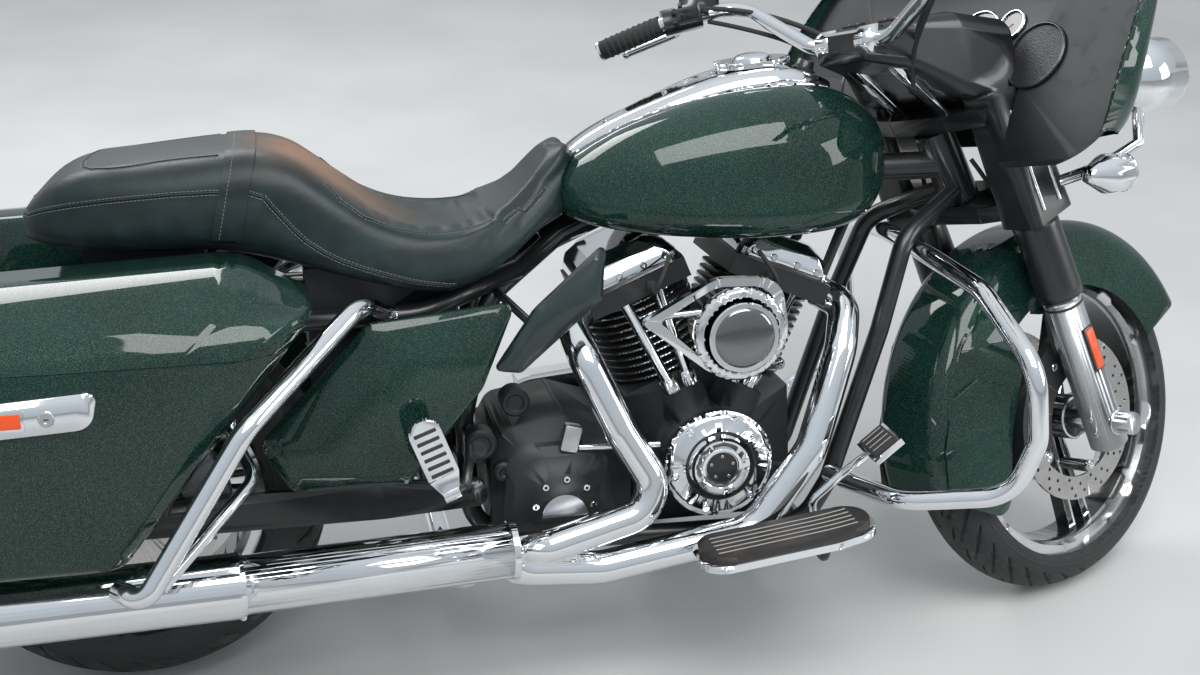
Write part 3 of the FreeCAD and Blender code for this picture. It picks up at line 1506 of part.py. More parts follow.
# Handlebar on its risers, and the controls at its ends
bar_r, grip_r = size["bar_radius"], size["grip_radius"]
grip_start, grip_end = Vector(1065, 314, 1082), Vector(990, 410, 1046)
grip_way = (grip_end - grip_start).normalize()
bar_path = [grip_end, grip_start, (1180, 250, 1100), (1200, 90, 1008), (1200, -90, 1008), (1180, -250, 1100)]
bar_path += [(grip_start.x, -grip_start.y, grip_start.z), (grip_end.x, -grip_end.y, grip_end.z)]
handle_tube = tube("handle_tube", bar_path, bar_r, 70)
risers = []
riser_top, riser_foot = Vector(1200, 0, 1008), high_yoke_at + STEER_AXIS * 20
for side in (RIGHT, LEFT):
    across = Y_AXIS * (side * 46)
    risers.append(bar("riser", riser_foot + across, riser_top + across, 15))
    risers.append(drum("bar_clamp", riser_top + Y_AXIS * (side * 32), Y_AXIS * side, 25, 30))
handlebar = cut("handlebar_shape", union("handlebar_pieces", [handle_tube] + risers), yokes)
publish("handlebar", "steering", handlebar)

controls = []
for side in (RIGHT, LEFT):
    def hand(point, mirror=side):
        """A point of the left hand's controls, on this side."""
        return Vector(point[0], mirror * point[1], point[2])

    grip = bar("grip", hand(grip_start + grip_way * 14), hand(grip_end + grip_way * 4), grip_r)
    housing = bar("switch_housing", hand((1116, 286, 1090)), hand(grip_start + grip_way * 10), 24)
    reservoir = block("fluid_reservoir", (1096, side * 268, 1086), (1146, side * 318, 1122))
    lever_path = [hand((1112, 300, 1088)), hand((1110, 352, 1064)), hand((1052, 430, 1038))]
    lever = tube("hand_lever", lever_path, 7, 24)
    tip = ball("lever_tip", hand((1052, 430, 1038)), 9)
    post = bar("mirror_post", hand((1120, 300, 1112)), hand((1190, 352, 1160)), 6)
    hand_pieces = union("hand_pieces", [grip, housing, reservoir, lever, tip, post])
    controls.append(cut("hand_controls", hand_pieces, handlebar))

MIRROR_VIEW = Rotation(Y_AXIS, -10).multiply(CROSS)
mirrors = []
for side in (RIGHT, LEFT):
    mirror_corners = ((-64, -40, 34), (72, -34, 26), (88, 26, 34), (-52, 44, 40))
    outline_corners = [(side * u, v, r) for u, v, r in mirror_corners]
    mirrors.append(slab("mirror_head", outline_corners, (1190, side * 380, 1170), MIRROR_VIEW, 26))
mirror_pair = cut("mirrors_shape", group("mirror_pair", mirrors), *controls)
publish("bar_controls", "steering", *controls, mirror_pair)

# Black cowls over the fork legs and the nacelle between them, which holds the switches
cowls = []
for side in (RIGHT, LEFT):
    low_at, high_at = leg_point(side, 405), leg_point(side, 640)
    low_cowl = [(-48, -38, 16), (58, -38, 22), (58, 46, 22), (-48, 46, 16)]
    high_cowl = [(-40, -40, 16), (40, -40, 18), (40, 44, 18), (-40, 44, 16)]
    sections = [
        ([(u, side * v, r) for u, v, r in low_cowl], low_at, LEG_VIEW),
        ([(u, side * v, r) for u, v, r in high_cowl], high_at, LEG_VIEW),
    ]
    cowls.append(loft("fork_cowl", sections, ruled=True))
NACELLE = (
    (1178, 60, 975, 1026, 10, 12),
    (1262, 92, 956, 1040, 14, 22),
    (1330, 132, 908, 1046, 20, 34),
    (1412, 168, 880, 1030, 20, 40),
)
nacelle = loft("nacelle", body_sections(NACELLE), ruled=True)
cowling = cut("cowling_shape", union("cowling_pieces", cowls + [nacelle]), yokes, handlebar, *fork_tubes)
publish("fork_cowls", "steering", cowling)

# Fairing: height, half width, rear edge, side, shoulder forward and out, nose forward and out
FAIRING = (
    (800, 270, 1392, 1436, 1530, 120, 1655, 72),
    (860, 385, 1352, 1420, 1560, 160, 1700, 96),
    (960, 405, 1378, 1440, 1590, 170, 1722, 110),
    (1060, 396, 1440, 1484, 1610, 168, 1700, 112),
    (1140, 352, 1490, 1524, 1606, 170, 1645, 110),
    (1190, 285, 1520, 1544, 1584, 175, 1600, 100),
)


def fairing_sections(rows, inset=0, behind=0):
    """Level sections of the fairing, drawn in by an inset and lengthened behind."""
    sections = []
    for height, half, rear, side_x, shoulder_x, shoulder_y, nose_x, nose_y in rows:
        corners = [
            (rear - behind, half - inset, 0),
            (side_x, half - inset, 60),
            (shoulder_x - inset, shoulder_y - 0.4 * inset, 120),
            (nose_x - inset, nose_y - 0.4 * inset, 60),
        ]
        corners += [(u, -v, r) for u, v, r in reversed(corners)]
        sections.append((corners, (0, 0, height), PLAN))
    return sections


fairing_wall = float(size["fairing_wall"])
fairing_outside = loft("fairing_outside", fairing_sections(FAIRING))
hollow_rows = [(780,) + FAIRING[0][1:]] + list(FAIRING[1:-1]) + [(1190 - fairing_wall - 1,) + FAIRING[-1][1:]]
fairing_hollow = loft("fairing_hollow", fairing_sections(hollow_rows, fairing_wall, 40))
headlamp_at = Vector(1622, 0, 956)
headlamp = drum("headlamp_body", headlamp_at, X_AXIS, size["headlamp_radius"], 116)
fairing = cut("fairing_shape", fairing_outside, fairing_hollow, headlamp)
publish("outer_fairing", "steering", fairing)

panel_turn = Rotation(Y_AXIS, 27)
panel = tilted_block("panel_slab", (1430, 0, 966), panel_turn, 14, 860, 540)
panel_window = block("panel_window", (1300, -178, 700), (1500, 178, 918))
inner_panel = cut(
    "inner_panel",
    common("panel_in_fairing", loft("panel_limit", fairing_sections(hollow_rows, fairing_wall, 40)), panel),
    panel_window,
    cowling,
    headlamp,
)
publish("inner_fairing", "steering", inner_panel)

WINDSHIELD = (
    (1186, 276, 1500, 1530, 1576, 172, 1592, 96),
    (1250, 262, 1486, 1512, 1556, 166, 1572, 92),
    (1312, 236, 1466, 1488, 1526, 156, 1540, 84),
)
pane_wall = 4
pane_rows = [(1180,) + WINDSHIELD[0][1:], WINDSHIELD[1], (1320,) + WINDSHIELD[2][1:]]
windshield = cut(
    "windshield_shape",
    loft("windshield_outside", fairing_sections(WINDSHIELD), ruled=True),
    loft("windshield_hollow", fairing_sections(pane_rows, pane_wall, 30), ruled=True),
    fairing,
)
publish("windshield", "steering", windshield)

# Headlamp, passing lamps and turn signals on their bar
lamp_r, bullet_r = size["lamp_radius"], size["signal_radius"]
lamp_pieces = [ring("headlamp_rim", headlamp_at + X_AXIS * 112, X_AXIS, size["headlamp_radius"] - 1, 6)]
side_lamps = []
for side in (RIGHT, LEFT):
    lamp_y = side * 252
    shell = ball("lamp_shell", (1600, lamp_y, 916), lamp_r)
    front = bar("lamp_front", (1600, lamp_y, 916), (1650, lamp_y, 916), lamp_r)
    post = bar("lamp_post", (1600, lamp_y, 800), (1600, lamp_y, 870), 10)
    arm = tube("lamp_arm", [(1496, side * 170, 752), (1530, side * 236, 774), (1600, lamp_y, 806)], 10, 30)
    signal = bar("front_signal", (1522, side * 240, 760), (1562, side * 240, 760), bullet_r)
    signal_back = cone("front_signal_back", (1476, side * 240, 760), (1522, side * 240, 760), 12, bullet_r)
    side_lamps.append(union("side_lamp", [shell, front, post, arm, signal, signal_back]))
lamps = group("lamp_set", [union("headlamp_shape", [headlamp] + lamp_pieces)] + side_lamps)
publish("front_lamps", "steering", cut("lamps_shape", lamps, fairing, cowling, yokes))

# Front brake calipers and the front fender with its skirts and brackets
front_edge = float(size["disc_radius"])
front_calipers = []
for side, name in ((RIGHT, "right"), (LEFT, "left")):
    rows = (
        (95, 7.5, 23.5, 118, 200),
        (118, -22.5, -7.5, 135, 200),
        (front_edge + 7, -22.5, 23.5, 135, 200),
    )
    front_calipers.append(caliper(f"{name}_caliper", FRONT_AXLE, side, size["disc_place"], front_edge, rows))
calipers = cut("calipers_shape", group("caliper_pair", front_calipers), sliders)
publish("front_calipers", "steering", calipers)

fender_half = size["front_fender_half"]
front_trough = trough(fender_half, size["front_fender_radius"], 240, 40)
fender_pieces = [fender("front_fender_turn", front_trough, FRONT_AXLE, -15, 164)]
SKIRT = (
    (1285, 228, 20),
    (1431, 169, 30),
    (1446, 321, 60),
    (1486, 440, 40),
    (1400, 560, 20),
    (1330, 480, 20),
    (1280, 319, 20),
)
skirts = [
    slab("right_skirt", SKIRT, (0, -fender_half + fender_wall, 0), SIDE, fender_wall),
    slab("left_skirt", SKIRT, (0, fender_half, 0), SIDE, fender_wall),
]
brackets = []
for side in (RIGHT, LEFT):
    brackets.append(block("fender_bracket", (1508, side * (fender_half - 1), 522), (1566, side * 102, 566)))
front_fender = cut(
    "front_fender_shape",
    union("front_fender_pieces", fender_pieces + skirts + brackets),
    sliders,
    group("tube_pair", fork_tubes),
    calipers,
)
publish("front_fender", "steering", front_fender)

# The pose of the parked machine: it leans on its side stand, the steering on its left stop
TYRES = (
    (REAR_AXLE, size["rear_tyre_radius"], size["rear_tyre_half"], False),
    (FRONT_AXLE, size["front_tyre_radius"], size["front_tyre_half"], True),
)


def about(point, axis, degrees):
    """A turn about a line."""
    turn = Placement(Vector(), Rotation(axis, float(degrees)))
    return Placement(spot(point), Rotation()).multiply(turn).multiply(Placement(-spot(point), Rotation()))


STEERED = about(STEER_FOOT, STEER_AXIS, size["steer_stop"])


def lowest(turn, centre, radius, half, steered):
    """How high a tyre's lowest point stands under its axle's height in the turned machine."""
    axle, middle = Y_AXIS, spot(centre)
    if steered:
        axle, middle = STEERED.Rotation.multVec(axle), STEERED.multVec(middle)
    tilt = turn.multVec(axle).z
    return turn.multVec(middle).z - (radius - half) * math.sqrt(1 - tilt**2) - half


def leaning(pitch):
    """The machine's turn for a lean to the left and a small pitch."""
    return Rotation(X_AXIS, -float(size["lean_angle"])).multiply(Rotation(Y_AXIS, pitch))


def level_error(pitch):
    """How much higher the front tyre's lowest point is than the rear tyre's."""
    rear, front = (lowest(leaning(pitch), *row) for row in TYRES)
    return front - rear


first, second = 0.0, 1.0
for _ in range(8):
    slope = (level_error(second) - level_error(first)) / (second - first)
    if abs(slope) < 1e-9:
        break
    first, second = second, second - level_error(second) / slope
    if abs(second - first) < 1e-10:
        break
stance = leaning(second)
ground = lowest(stance, *TYRES[0])
PARKED = Placement(Vector(-float(size["origin_ahead"]), -float(size["origin_left"]), -ground), stance)

# Side stand, its foot level on the ground
stand_pivot = Vector(850, 158, 186)
stand_reach, folded_reach = Vector(110, 180, 0), Vector(-250, 50, -6)
foot_thickness, foot_radius = 8, 28
up_there = PARKED.Rotation.multVec(Z_AXIS).z
over_ground = PARKED.multVec(stand_pivot + stand_reach).z - foot_thickness - 3
foot_at = stand_pivot + stand_reach - Z_AXIS * (over_ground / up_there)
stand_axis = (foot_at - stand_pivot).cross(folded_reach).normalize()
ground_way = PARKED.Rotation.inverted().multVec(-Z_AXIS)
stand_r = size["stand_radius"]
stand_pieces = [
    bar("stand_hub", stand_pivot - stand_axis * 12, stand_pivot + stand_axis * 14, 17),
    bar("stand_leg", stand_pivot + (foot_at - stand_pivot) * 0.05, foot_at, stand_r),
    drum("stand_foot", foot_at - ground_way * 2, ground_way, foot_radius, foot_thickness + 5),
]
stand_bore = bar("stand_bore", stand_pivot - stand_axis * 30, stand_pivot + stand_axis * 30, pin_r + gap)
under_ground = drum("under_ground", foot_at + ground_way * (foot_thickness + 3), ground_way, 60, 40)
stand_whole = union("stand_pieces_joined", stand_pieces)
publish("side_stand", "side_stand", cut("stand_shape", stand_whole, stand_bore, under_ground))
stand_holder = stand_pivot - stand_axis * 24
stand_bracket = union(
    "stand_bracket_pieces",
    [
        bar("stand_pin", stand_holder, stand_pivot + stand_axis * 15, pin_r),
        tube("stand_arm", [(870, rail_y, rail_z), (862, 136, 172), stand_holder], 9, 16),
        ball("stand_arm_end", stand_holder, 9.5),
    ],
)
stand_bracket_shape = cut("stand_bracket_shape", stand_bracket, frame)
publish(
    "body_brackets", "chassis", side_studs, bag_mount_bars, peg_brackets, supports, stand_bracket_shape
)

doc.recompute()
for item in doc.Objects:
    if "Invalid" in item.State or "Error" in item.State:
        raise RuntimeError(f"{item.Name} can't be built: {item.State}")

for node, host in NODES:
    steered = host in ("steering", "front_wheel")
    node.Placement = PARKED.multiply(STEERED) if steered else PARKED
doc.recompute()
os.makedirs("parts", exist_ok=True)
for node, host in NODES:
    if node.Shape.isNull() or not node.Shape.isValid():
        raise RuntimeError(f"{node.Label} has no valid shape")
    node.Shape.exportStep(f"parts/{node.Label}.step")
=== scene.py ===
import json
import logging
import math
from contextlib import contextmanager
from dataclasses import dataclass, field
from enum import Enum
from typing import Callable, Iterable, Iterator, Optional, Sequence, Union

import bmesh
import bpy
from mathutils import Matrix, Vector, kdtree

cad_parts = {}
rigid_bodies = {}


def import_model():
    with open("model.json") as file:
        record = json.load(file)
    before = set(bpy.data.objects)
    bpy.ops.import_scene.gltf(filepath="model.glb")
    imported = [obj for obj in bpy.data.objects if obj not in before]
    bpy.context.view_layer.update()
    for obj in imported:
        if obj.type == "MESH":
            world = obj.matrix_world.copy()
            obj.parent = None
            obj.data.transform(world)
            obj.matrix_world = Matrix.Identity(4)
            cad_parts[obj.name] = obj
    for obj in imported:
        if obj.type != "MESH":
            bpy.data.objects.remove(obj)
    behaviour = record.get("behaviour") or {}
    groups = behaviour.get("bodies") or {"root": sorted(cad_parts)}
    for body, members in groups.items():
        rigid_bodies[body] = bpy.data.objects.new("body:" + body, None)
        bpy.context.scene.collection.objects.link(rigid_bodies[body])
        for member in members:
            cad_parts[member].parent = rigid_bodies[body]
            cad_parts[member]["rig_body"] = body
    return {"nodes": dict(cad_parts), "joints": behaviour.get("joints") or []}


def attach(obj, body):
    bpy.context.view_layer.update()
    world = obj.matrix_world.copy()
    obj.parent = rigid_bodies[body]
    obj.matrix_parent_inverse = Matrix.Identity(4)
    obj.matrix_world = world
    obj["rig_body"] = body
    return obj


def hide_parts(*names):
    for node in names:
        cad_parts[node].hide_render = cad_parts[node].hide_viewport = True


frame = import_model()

LOG = logging.getLogger("touring_cruiser")
MM = 0.001
Triple = Sequence[float]
Pair = tuple[float, float]
REAR_AXLE = (0, 0, 320)
FRONT_AXLE = (1625, 0, 319)
CRANK = (951, 0, 345)
FORK_LEAN = math.radians(22)
CYLINDER_LEAN = math.radians(22.5)
STEERING_LOCK = 25


@dataclass(frozen=True)
class Machine:
    """Turns points of the upright machine, in millimetres, into places on the parked one."""

    upright: Matrix
    steer_turn: Matrix

    @classmethod
    def from_joints(cls, joints: Iterable[dict], rear_axle_height: float, lock: float) -> "Machine":
        """Work out where the machine stands from the frame's joints.

        Args:
            joints: the frame's joints.
            rear_axle_height: height of the rear axle above the ground, in millimetres.
            lock: steering angle of the parked machine, in degrees to the left.

        Returns:
            The machine's places.
        """
        named = {joint["name"]: joint for joint in joints}
        ahead = Vector(named["lid_right_hinge"]["axis"]).normalized()
        left = Vector(named["rear_wheel_spin"]["axis"]).normalized()
        up = ahead.cross(left).normalized()
        origin = Vector(named["rear_wheel_spin"]["pos_m"]) - up * rear_axle_height * MM
        upright = Matrix((ahead, left, up)).transposed().to_4x4()
        upright.translation = origin
        pivot = Vector(named["steering_turn"]["pos_m"])
        axis = Vector(named["steering_turn"]["axis"])
        turn = Matrix.Rotation(math.radians(lock), 4, axis)
        steer_turn = Matrix.Translation(pivot) @ turn @ Matrix.Translation(-pivot)
        return cls(upright, steer_turn)

    def matrix(self, steered: bool = False) -> Matrix:
        """The upright machine's place in metres, or that of what turns with the steering."""
        return self.steer_turn @ self.upright if steered else self.upright

    def point(self, place: Triple, steered: bool = False) -> Vector:
        """A point given in millimetres on the upright machine, in the frame's metres."""
        return self.matrix(steered) @ (Vector(place) * MM)

    def way(self, direction: Triple, steered: bool = False) -> Vector:
        """A direction given on the upright machine, in the frame."""
        return (self.matrix(steered).to_3x3() @ Vector(direction)).normalized()

    def seat(self, at: Triple, normal: Triple, steered: bool = False, hint: Triple = (1, 0, 0)) -> Matrix:
        """A place whose Z points along a direction, for a piece drawn about its own origin.

        Args:
            at: the place, in millimetres on the upright machine.
            normal: where the piece's Z points.
            steered: whether it turns with the steering.
            hint: where the piece's X points, as near as its Z allows.

        Returns:
            The matrix that puts the piece there, in metres.
        """
        z_axis = Vector(normal).normalized()
        x_axis = Vector(hint) - z_axis * Vector(hint).dot(z_axis)
        if x_axis.length < 1e-6:
            x_axis = z_axis.orthogonal()
        x_axis.normalize()
        turn = Matrix((x_axis, z_axis.cross(x_axis), z_axis)).transposed().to_4x4()
        turn.translation = Vector(at) * MM
        return self.matrix(steered) @ turn


MACHINE = Machine.from_joints(frame["joints"], REAR_AXLE[2], STEERING_LOCK)
AHEAD = MACHINE.way((1, 0, 0))
LEFTWARD = MACHINE.way((0, 1, 0))
UPWARD = MACHINE.way((0, 0, 1))


def grip_line(side: int) -> tuple[Vector, Vector]:
    """Where a grip starts and ends, in millimetres; side is 1 on the left and -1 on the right."""
    return Vector((1065, side * 314, 1082)), Vector((990, side * 410, 1046))


class Signal:
    """A shader socket that takes part in Python sums."""

    def __init__(self, shader: "Shader", socket: bpy.types.NodeSocket) -> None:
        """Keep the shader and the socket."""
        self.shader = shader
        self.socket = socket

    def _sum(self, operation: str, *values: "Number") -> "Signal":
        """Add a Math node."""
        return self.shader.math(operation, *values)

    def __add__(self, other: "Number") -> "Signal":
        """This value plus another."""
        return self._sum("ADD", self, other)

    def __radd__(self, other: "Number") -> "Signal":
        """Another value plus this one."""
        return self._sum("ADD", other, self)

    def __sub__(self, other: "Number") -> "Signal":
        """This value less another."""
        return self._sum("SUBTRACT", self, other)

    def __rsub__(self, other: "Number") -> "Signal":
        """Another value less this one."""
        return self._sum("SUBTRACT", other, self)

    def __mul__(self, other: "Number") -> "Signal":
        """This value times another."""
        return self._sum("MULTIPLY", self, other)

    def __rmul__(self, other: "Number") -> "Signal":
        """Another value times this one."""
        return self._sum("MULTIPLY", other, self)

    def __gt__(self, limit: "Number") -> "Signal":
        """1 where this value is over a limit, else 0."""
        return self._sum("GREATER_THAN", self, limit)

    def ramp(self, low: float, high: float) -> "Signal":
        """0 under one value and 1 over another, with a smooth step between."""
        settings = {"interpolation_type": "SMOOTHSTEP"}
        values = {"Value": self, "From Min": low, "From Max": high}
        return self.shader.node("ShaderNodeMapRange", settings, values)["Result"]


Number = Union[Signal, float, int]


class Outputs:
    """The outputs of a node, by name, as signals."""

    def __init__(self, shader: "Shader", node: bpy.types.Node) -> None:
        """Keep the shader and the node."""
        self.shader = shader
        self.node = node

    def __getitem__(self, name: Union[str, int]) -> Signal:
        """One output."""
        return Signal(self.shader, self.node.outputs[name])


class Shader:
    """A material made of one Principled shader and what feeds it."""

    def __init__(self, name: str) -> None:
        """Start a material with its shader and output."""
        self.material = bpy.data.materials.new(name)
        self.material.use_nodes = True
        self.tree = self.material.node_tree
        self.tree.nodes.clear()
        self.output = self.tree.nodes.new("ShaderNodeOutputMaterial")
        self.surface = self.tree.nodes.new("ShaderNodeBsdfPrincipled")
        self.tree.links.new(self.surface.outputs["BSDF"], self.output.inputs["Surface"])

    def link(self, value: object, socket: bpy.types.NodeSocket) -> None:
        """Feed a socket with a signal or set it to a constant."""
        if isinstance(value, Signal):
            self.tree.links.new(value.socket, socket)
        else:
            socket.default_value = value

    def node(self, kind: str, settings: dict, values: dict) -> Outputs:
        """Add a node.

        Args:
            kind: the node's type.
            settings: its own settings, set first.
            values: what goes into its sockets, by name or number.

        Returns:
            Its outputs.
        """
        node = self.tree.nodes.new(kind)
        for name, value in settings.items():
            setattr(node, name, value)
        for name, value in values.items():
            self.link(value, node.inputs[name])
        return Outputs(self, node)

    def math(self, operation: str, *values: Number) -> Signal:
        """The result of a Math node."""
        inputs = dict(enumerate(values))
        return self.node("ShaderNodeMath", {"operation": operation}, inputs)["Value"]

    def mix(self, factor: Number, first: object, second: object) -> Signal:
        """A colour between two."""
        first, second = (self._colour(value) for value in (first, second))
        node = self.node("ShaderNodeMix", {"data_type": "RGBA"}, {0: factor, 6: first, 7: second})
        return node[2]

    @staticmethod
    def _colour(value: object) -> object:
        """A colour with its alpha, or a signal as it is."""
        return value if isinstance(value, Signal) else (*value, 1.0)

    def place(self, matrix: Optional[Matrix] = None) -> Signal:
        """Object coordinates in millimetres, turned into a piece's own frame."""
        coordinates = self.node("ShaderNodeTexCoord", {}, {})["Object"]
        if matrix is None:
            matrix = Matrix.Identity(4)
        inward = matrix.inverted()
        settings = {"vector_type": "POINT"}
        values = {
            "Vector": coordinates,
            "Location": inward.translation / MM,
            "Rotation": inward.to_euler(),
            "Scale": (1 / MM,) * 3,
        }
        return self.node("ShaderNodeMapping", settings, values)["Vector"]

    def axes(self, vector: Signal) -> tuple[Signal, Signal, Signal]:
        """The three numbers of a vector."""
        split = self.node("ShaderNodeSeparateXYZ", {}, {"Vector": vector})
        return split["X"], split["Y"], split["Z"]

    def noise(self, vector: Signal, size: float, detail: float = 2, rough: float = 0.5) -> Signal:
        """Soft noise whose grains measure a size in millimetres."""
        values = {"Vector": vector, "Scale": 1 / size, "Detail": detail, "Roughness": rough}
        return self.node("ShaderNodeTexNoise", {}, values)["Fac"]

    def cells(self, vector: Signal, size: float, feature: str = "F1") -> Outputs:
        """A pattern of cells that measure a size in millimetres."""
        return self.node("ShaderNodeTexVoronoi", {"feature": feature}, {"Vector": vector, "Scale": 1 / size})

    def bump(
        self,
        height: Signal,
        depth: float,
        strength: float = 1.0,
        normal: Optional[Signal] = None,
    ) -> Signal:
        """A normal that follows a height of 0 to 1, as deep as given in millimetres."""
        values = {"Height": height, "Distance": depth * MM, "Strength": strength}
        if normal is not None:
            values["Normal"] = normal
        return self.node("ShaderNodeBump", {}, values)["Normal"]

    def dress(self, **values: object) -> bpy.types.Material:
        """Set the surface's sockets, with _ for a space, and give the material."""
        for name, value in values.items():
            socket = self.surface.inputs[name.replace("_", " ")]
            if isinstance(value, tuple) and len(value) == 3 and socket.type == "RGBA":
                value = (*value, 1.0)
            self.link(value, socket)
        return self.material


@dataclass(frozen=True)
class FlakePaint:
    """Dark green paint with gold-green flakes under a clear coat."""

    name: str = "flake_paint"
    shade: Triple = (0.0008, 0.0140, 0.0160)
    light: Triple = (0.0016, 0.0240, 0.0235)
    flake: Triple = (0.17, 0.28, 0.10)
    flake_size: float = 0.7

    def make(self) -> bpy.types.Material:
        """Make the material."""
        shader = Shader(self.name)
        place = shader.place()
        cells = shader.cells(place, self.flake_size)
        red, green, _ = shader.axes(cells["Color"])
        drift = shader.noise(place, 160, 1)
        base = shader.mix(drift.ramp(0.35, 0.7), self.shade, self.light)
        flakes = (red > 0.72) * (0.05 + green * 0.3)
        colour = shader.mix(flakes, base, self.flake)
        peel = shader.noise(place, 9, 1)
        return shader.dress(
            Base_Color=colour,
            Metallic=flakes,
            Roughness=0.42 - flakes * 0.15,
            Specular_IOR_Level=0.0,
            Coat_Weight=1.0,
            Coat_Roughness=0.03,
            Coat_IOR=1.47,
            Normal=shader.bump(peel, 0.02, 0.25),
        )


@dataclass(frozen=True)
class Metal:
    """Plated, cast or machined metal."""

    name: str
    colour: Triple
    roughness: float
    spread: float = 0.04
    grain: float = 40
    depth: float = 0.02
    stain: float = 0.12
    brushed: bool = False

    def make(self) -> bpy.types.Material:
        """Make the material."""
        shader = Shader(self.name)
        place = shader.place()
        patches = shader.noise(place, 60, 4)
        dull = tuple(0.72 * part for part in self.colour)
        colour = shader.mix(patches.ramp(0.45, 0.85) * self.stain * 4, self.colour, dull)
        fine = shader.noise(place, self.grain, 3)
        roughness = self.roughness + (fine - 0.5) * self.spread * 2
        if self.brushed:
            x, y, z = shader.axes(place)
            radius = shader.math("SQRT", x * x + y * y + z * z)
            fine = shader.noise(shader.node("ShaderNodeCombineXYZ", {}, {"X": radius * 4})["Vector"], 1.5, 3)
        return shader.dress(
            Base_Color=colour,
            Metallic=1.0,
            Roughness=roughness,
            Normal=shader.bump(fine, self.depth, 0.5),
        )


@dataclass(frozen=True)
class Plastic:
    """Moulded plastic, rubber or powder coat: a dark base with a fine grain."""

    name: str
    colour: Triple
    roughness: float
    grain: float = 0.8
    depth: float = 0.06
    dust: Triple = (0.10, 0.10, 0.095)
    dusty: float = 0.25
    coat: float = 0.0

    def make(self) -> bpy.types.Material:
        """Make the material."""
        shader = Shader(self.name)
        place = shader.place()
        grain = shader.cells(place, self.grain)["Distance"]
        patches = shader.noise(place, 45, 5, 0.6).ramp(0.5, 0.8)
        return shader.dress(
            Base_Color=shader.mix(patches * self.dusty, self.colour, self.dust),
            Roughness=self.roughness + patches * 0.12,
            Coat_Weight=self.coat,
            Coat_Roughness=0.08,
            Normal=shader.bump(grain, self.depth, 0.5),
        )


@dataclass(frozen=True)
class Leather:
    """Black grained leather, with a painted warm reflection: brown on its upward faces where the rider sits.
    """

    name: str = "seat_leather"
    black: Triple = (0.006, 0.014, 0.015)
    sheen: Triple = (0.010, 0.024, 0.025)
    # Colour of the painted reflection: warm brown standing in for light on the black leather.
    painted_reflection: Triple = (0.24, 0.135, 0.082)
    reflection_from: float = 180
    reflection_to: float = 530
    reflection_half: float = 150

    def make(self) -> bpy.types.Material:
        """Make the material."""
        shader = Shader(self.name)
        place = shader.place(MACHINE.matrix())
        x, y, _ = shader.axes(place)
        drift = shader.noise(place, 70, 3)
        # The patch where the painted reflection goes: over the rider's place, front to back and side to side.
        inside = (x + (drift - 0.5) * 60).ramp(self.reflection_from, self.reflection_from + 130)
        inside = inside * (1 - (x + (drift - 0.5) * 60).ramp(self.reflection_to - 220, self.reflection_to))
        side = shader.math("ABSOLUTE", y)
        inside = inside * (1 - (side + (drift - 0.5) * 30).ramp(self.reflection_half - 110, self.reflection_half))
        facing = shader.node("ShaderNodeTexCoord", {}, {})["Normal"]
        _, _, upward = shader.axes(facing)
        # Painted reflection: the brown goes only on faces that look up, where the leather catches warm light.
        painted_reflection = inside * upward.ramp(0.0, 0.8) * 0.9
        base = shader.mix(shader.noise(place, 38, 2).ramp(0.35, 0.75), self.black, self.sheen)
        pores = shader.cells(place, 1.5)["Distance"]
        creases = shader.noise(place, 7, 4, 0.6)
        grain = shader.bump(pores, 0.16, 0.5)
        return shader.dress(
            Base_Color=shader.mix(painted_reflection, base, self.painted_reflection),
            Roughness=0.36 + pores * 0.16 + painted_reflection * 0.12,
            Specular_IOR_Level=0.4,
            Normal=shader.bump(creases, 0.35, 0.35, grain),
        )


@dataclass(frozen=True)
class Glass:
    """Clear or tinted glass and lamp lenses."""

    name: str
    colour: Triple
    roughness: float = 0.02
    transmission: float = 1.0
    ribs: float = 0.0
    glow: float = 0.0

    def make(self) -> bpy.types.Material:
        """Make the material."""
        shader = Shader(self.name)
        place = shader.place()
        specks = shader.noise(place, 25, 3)
        values: dict[str, object] = {
            "Base_Color": shader.mix(specks.ramp(0.4, 0.9) * 0.15, self.colour, (0.5, 0.5, 0.5)),
            "Roughness": self.roughness + specks * 0.03,
            "Transmission_Weight": self.transmission,
            "IOR": 1.46,
        }
        if self.ribs:
            height = shader.cells(place, self.ribs)["Distance"]
            values["Normal"] = shader.bump(height, 0.5, 0.7)
        if self.glow:
            values["Emission_Color"] = self.colour
            values["Emission_Strength"] = self.glow
        return shader.dress(**values)


@dataclass(frozen=True)
class TyreRubber:
    """Tyre rubber about a wheel's own axle: ribbed side walls, dust where it rolls."""

    name: str
    axle: Triple
    steered: bool
    wall: float
    colour: Triple = (0.014, 0.015, 0.016)
    dust: Triple = (0.115, 0.11, 0.10)

    def make(self) -> bpy.types.Material:
        """Make the material."""
        shader = Shader(self.name)
        wheel = MACHINE.matrix(self.steered) @ Matrix.Translation(Vector(self.axle) * MM)
        x, _, z = shader.axes(shader.place(wheel))
        reach = shader.math("SQRT", x * x + z * z)
        place = shader.place()
        patches = shader.noise(place, 30, 5, 0.65).ramp(0.42, 0.8)
        tread = reach.ramp(self.wall + 44, self.wall + 54)
        ribs = shader.math("SINE", reach * 1.9) * (1 - reach.ramp(self.wall + 10, self.wall + 16))
        grain = shader.noise(place, 1.6, 4, 0.7) + ribs * 0.45
        return shader.dress(
            Base_Color=shader.mix(patches * (0.18 + tread * 0.4), self.colour, self.dust),
            Roughness=0.6 + patches * 0.2,
            Normal=shader.bump(grain, 0.3, 0.45),
        )


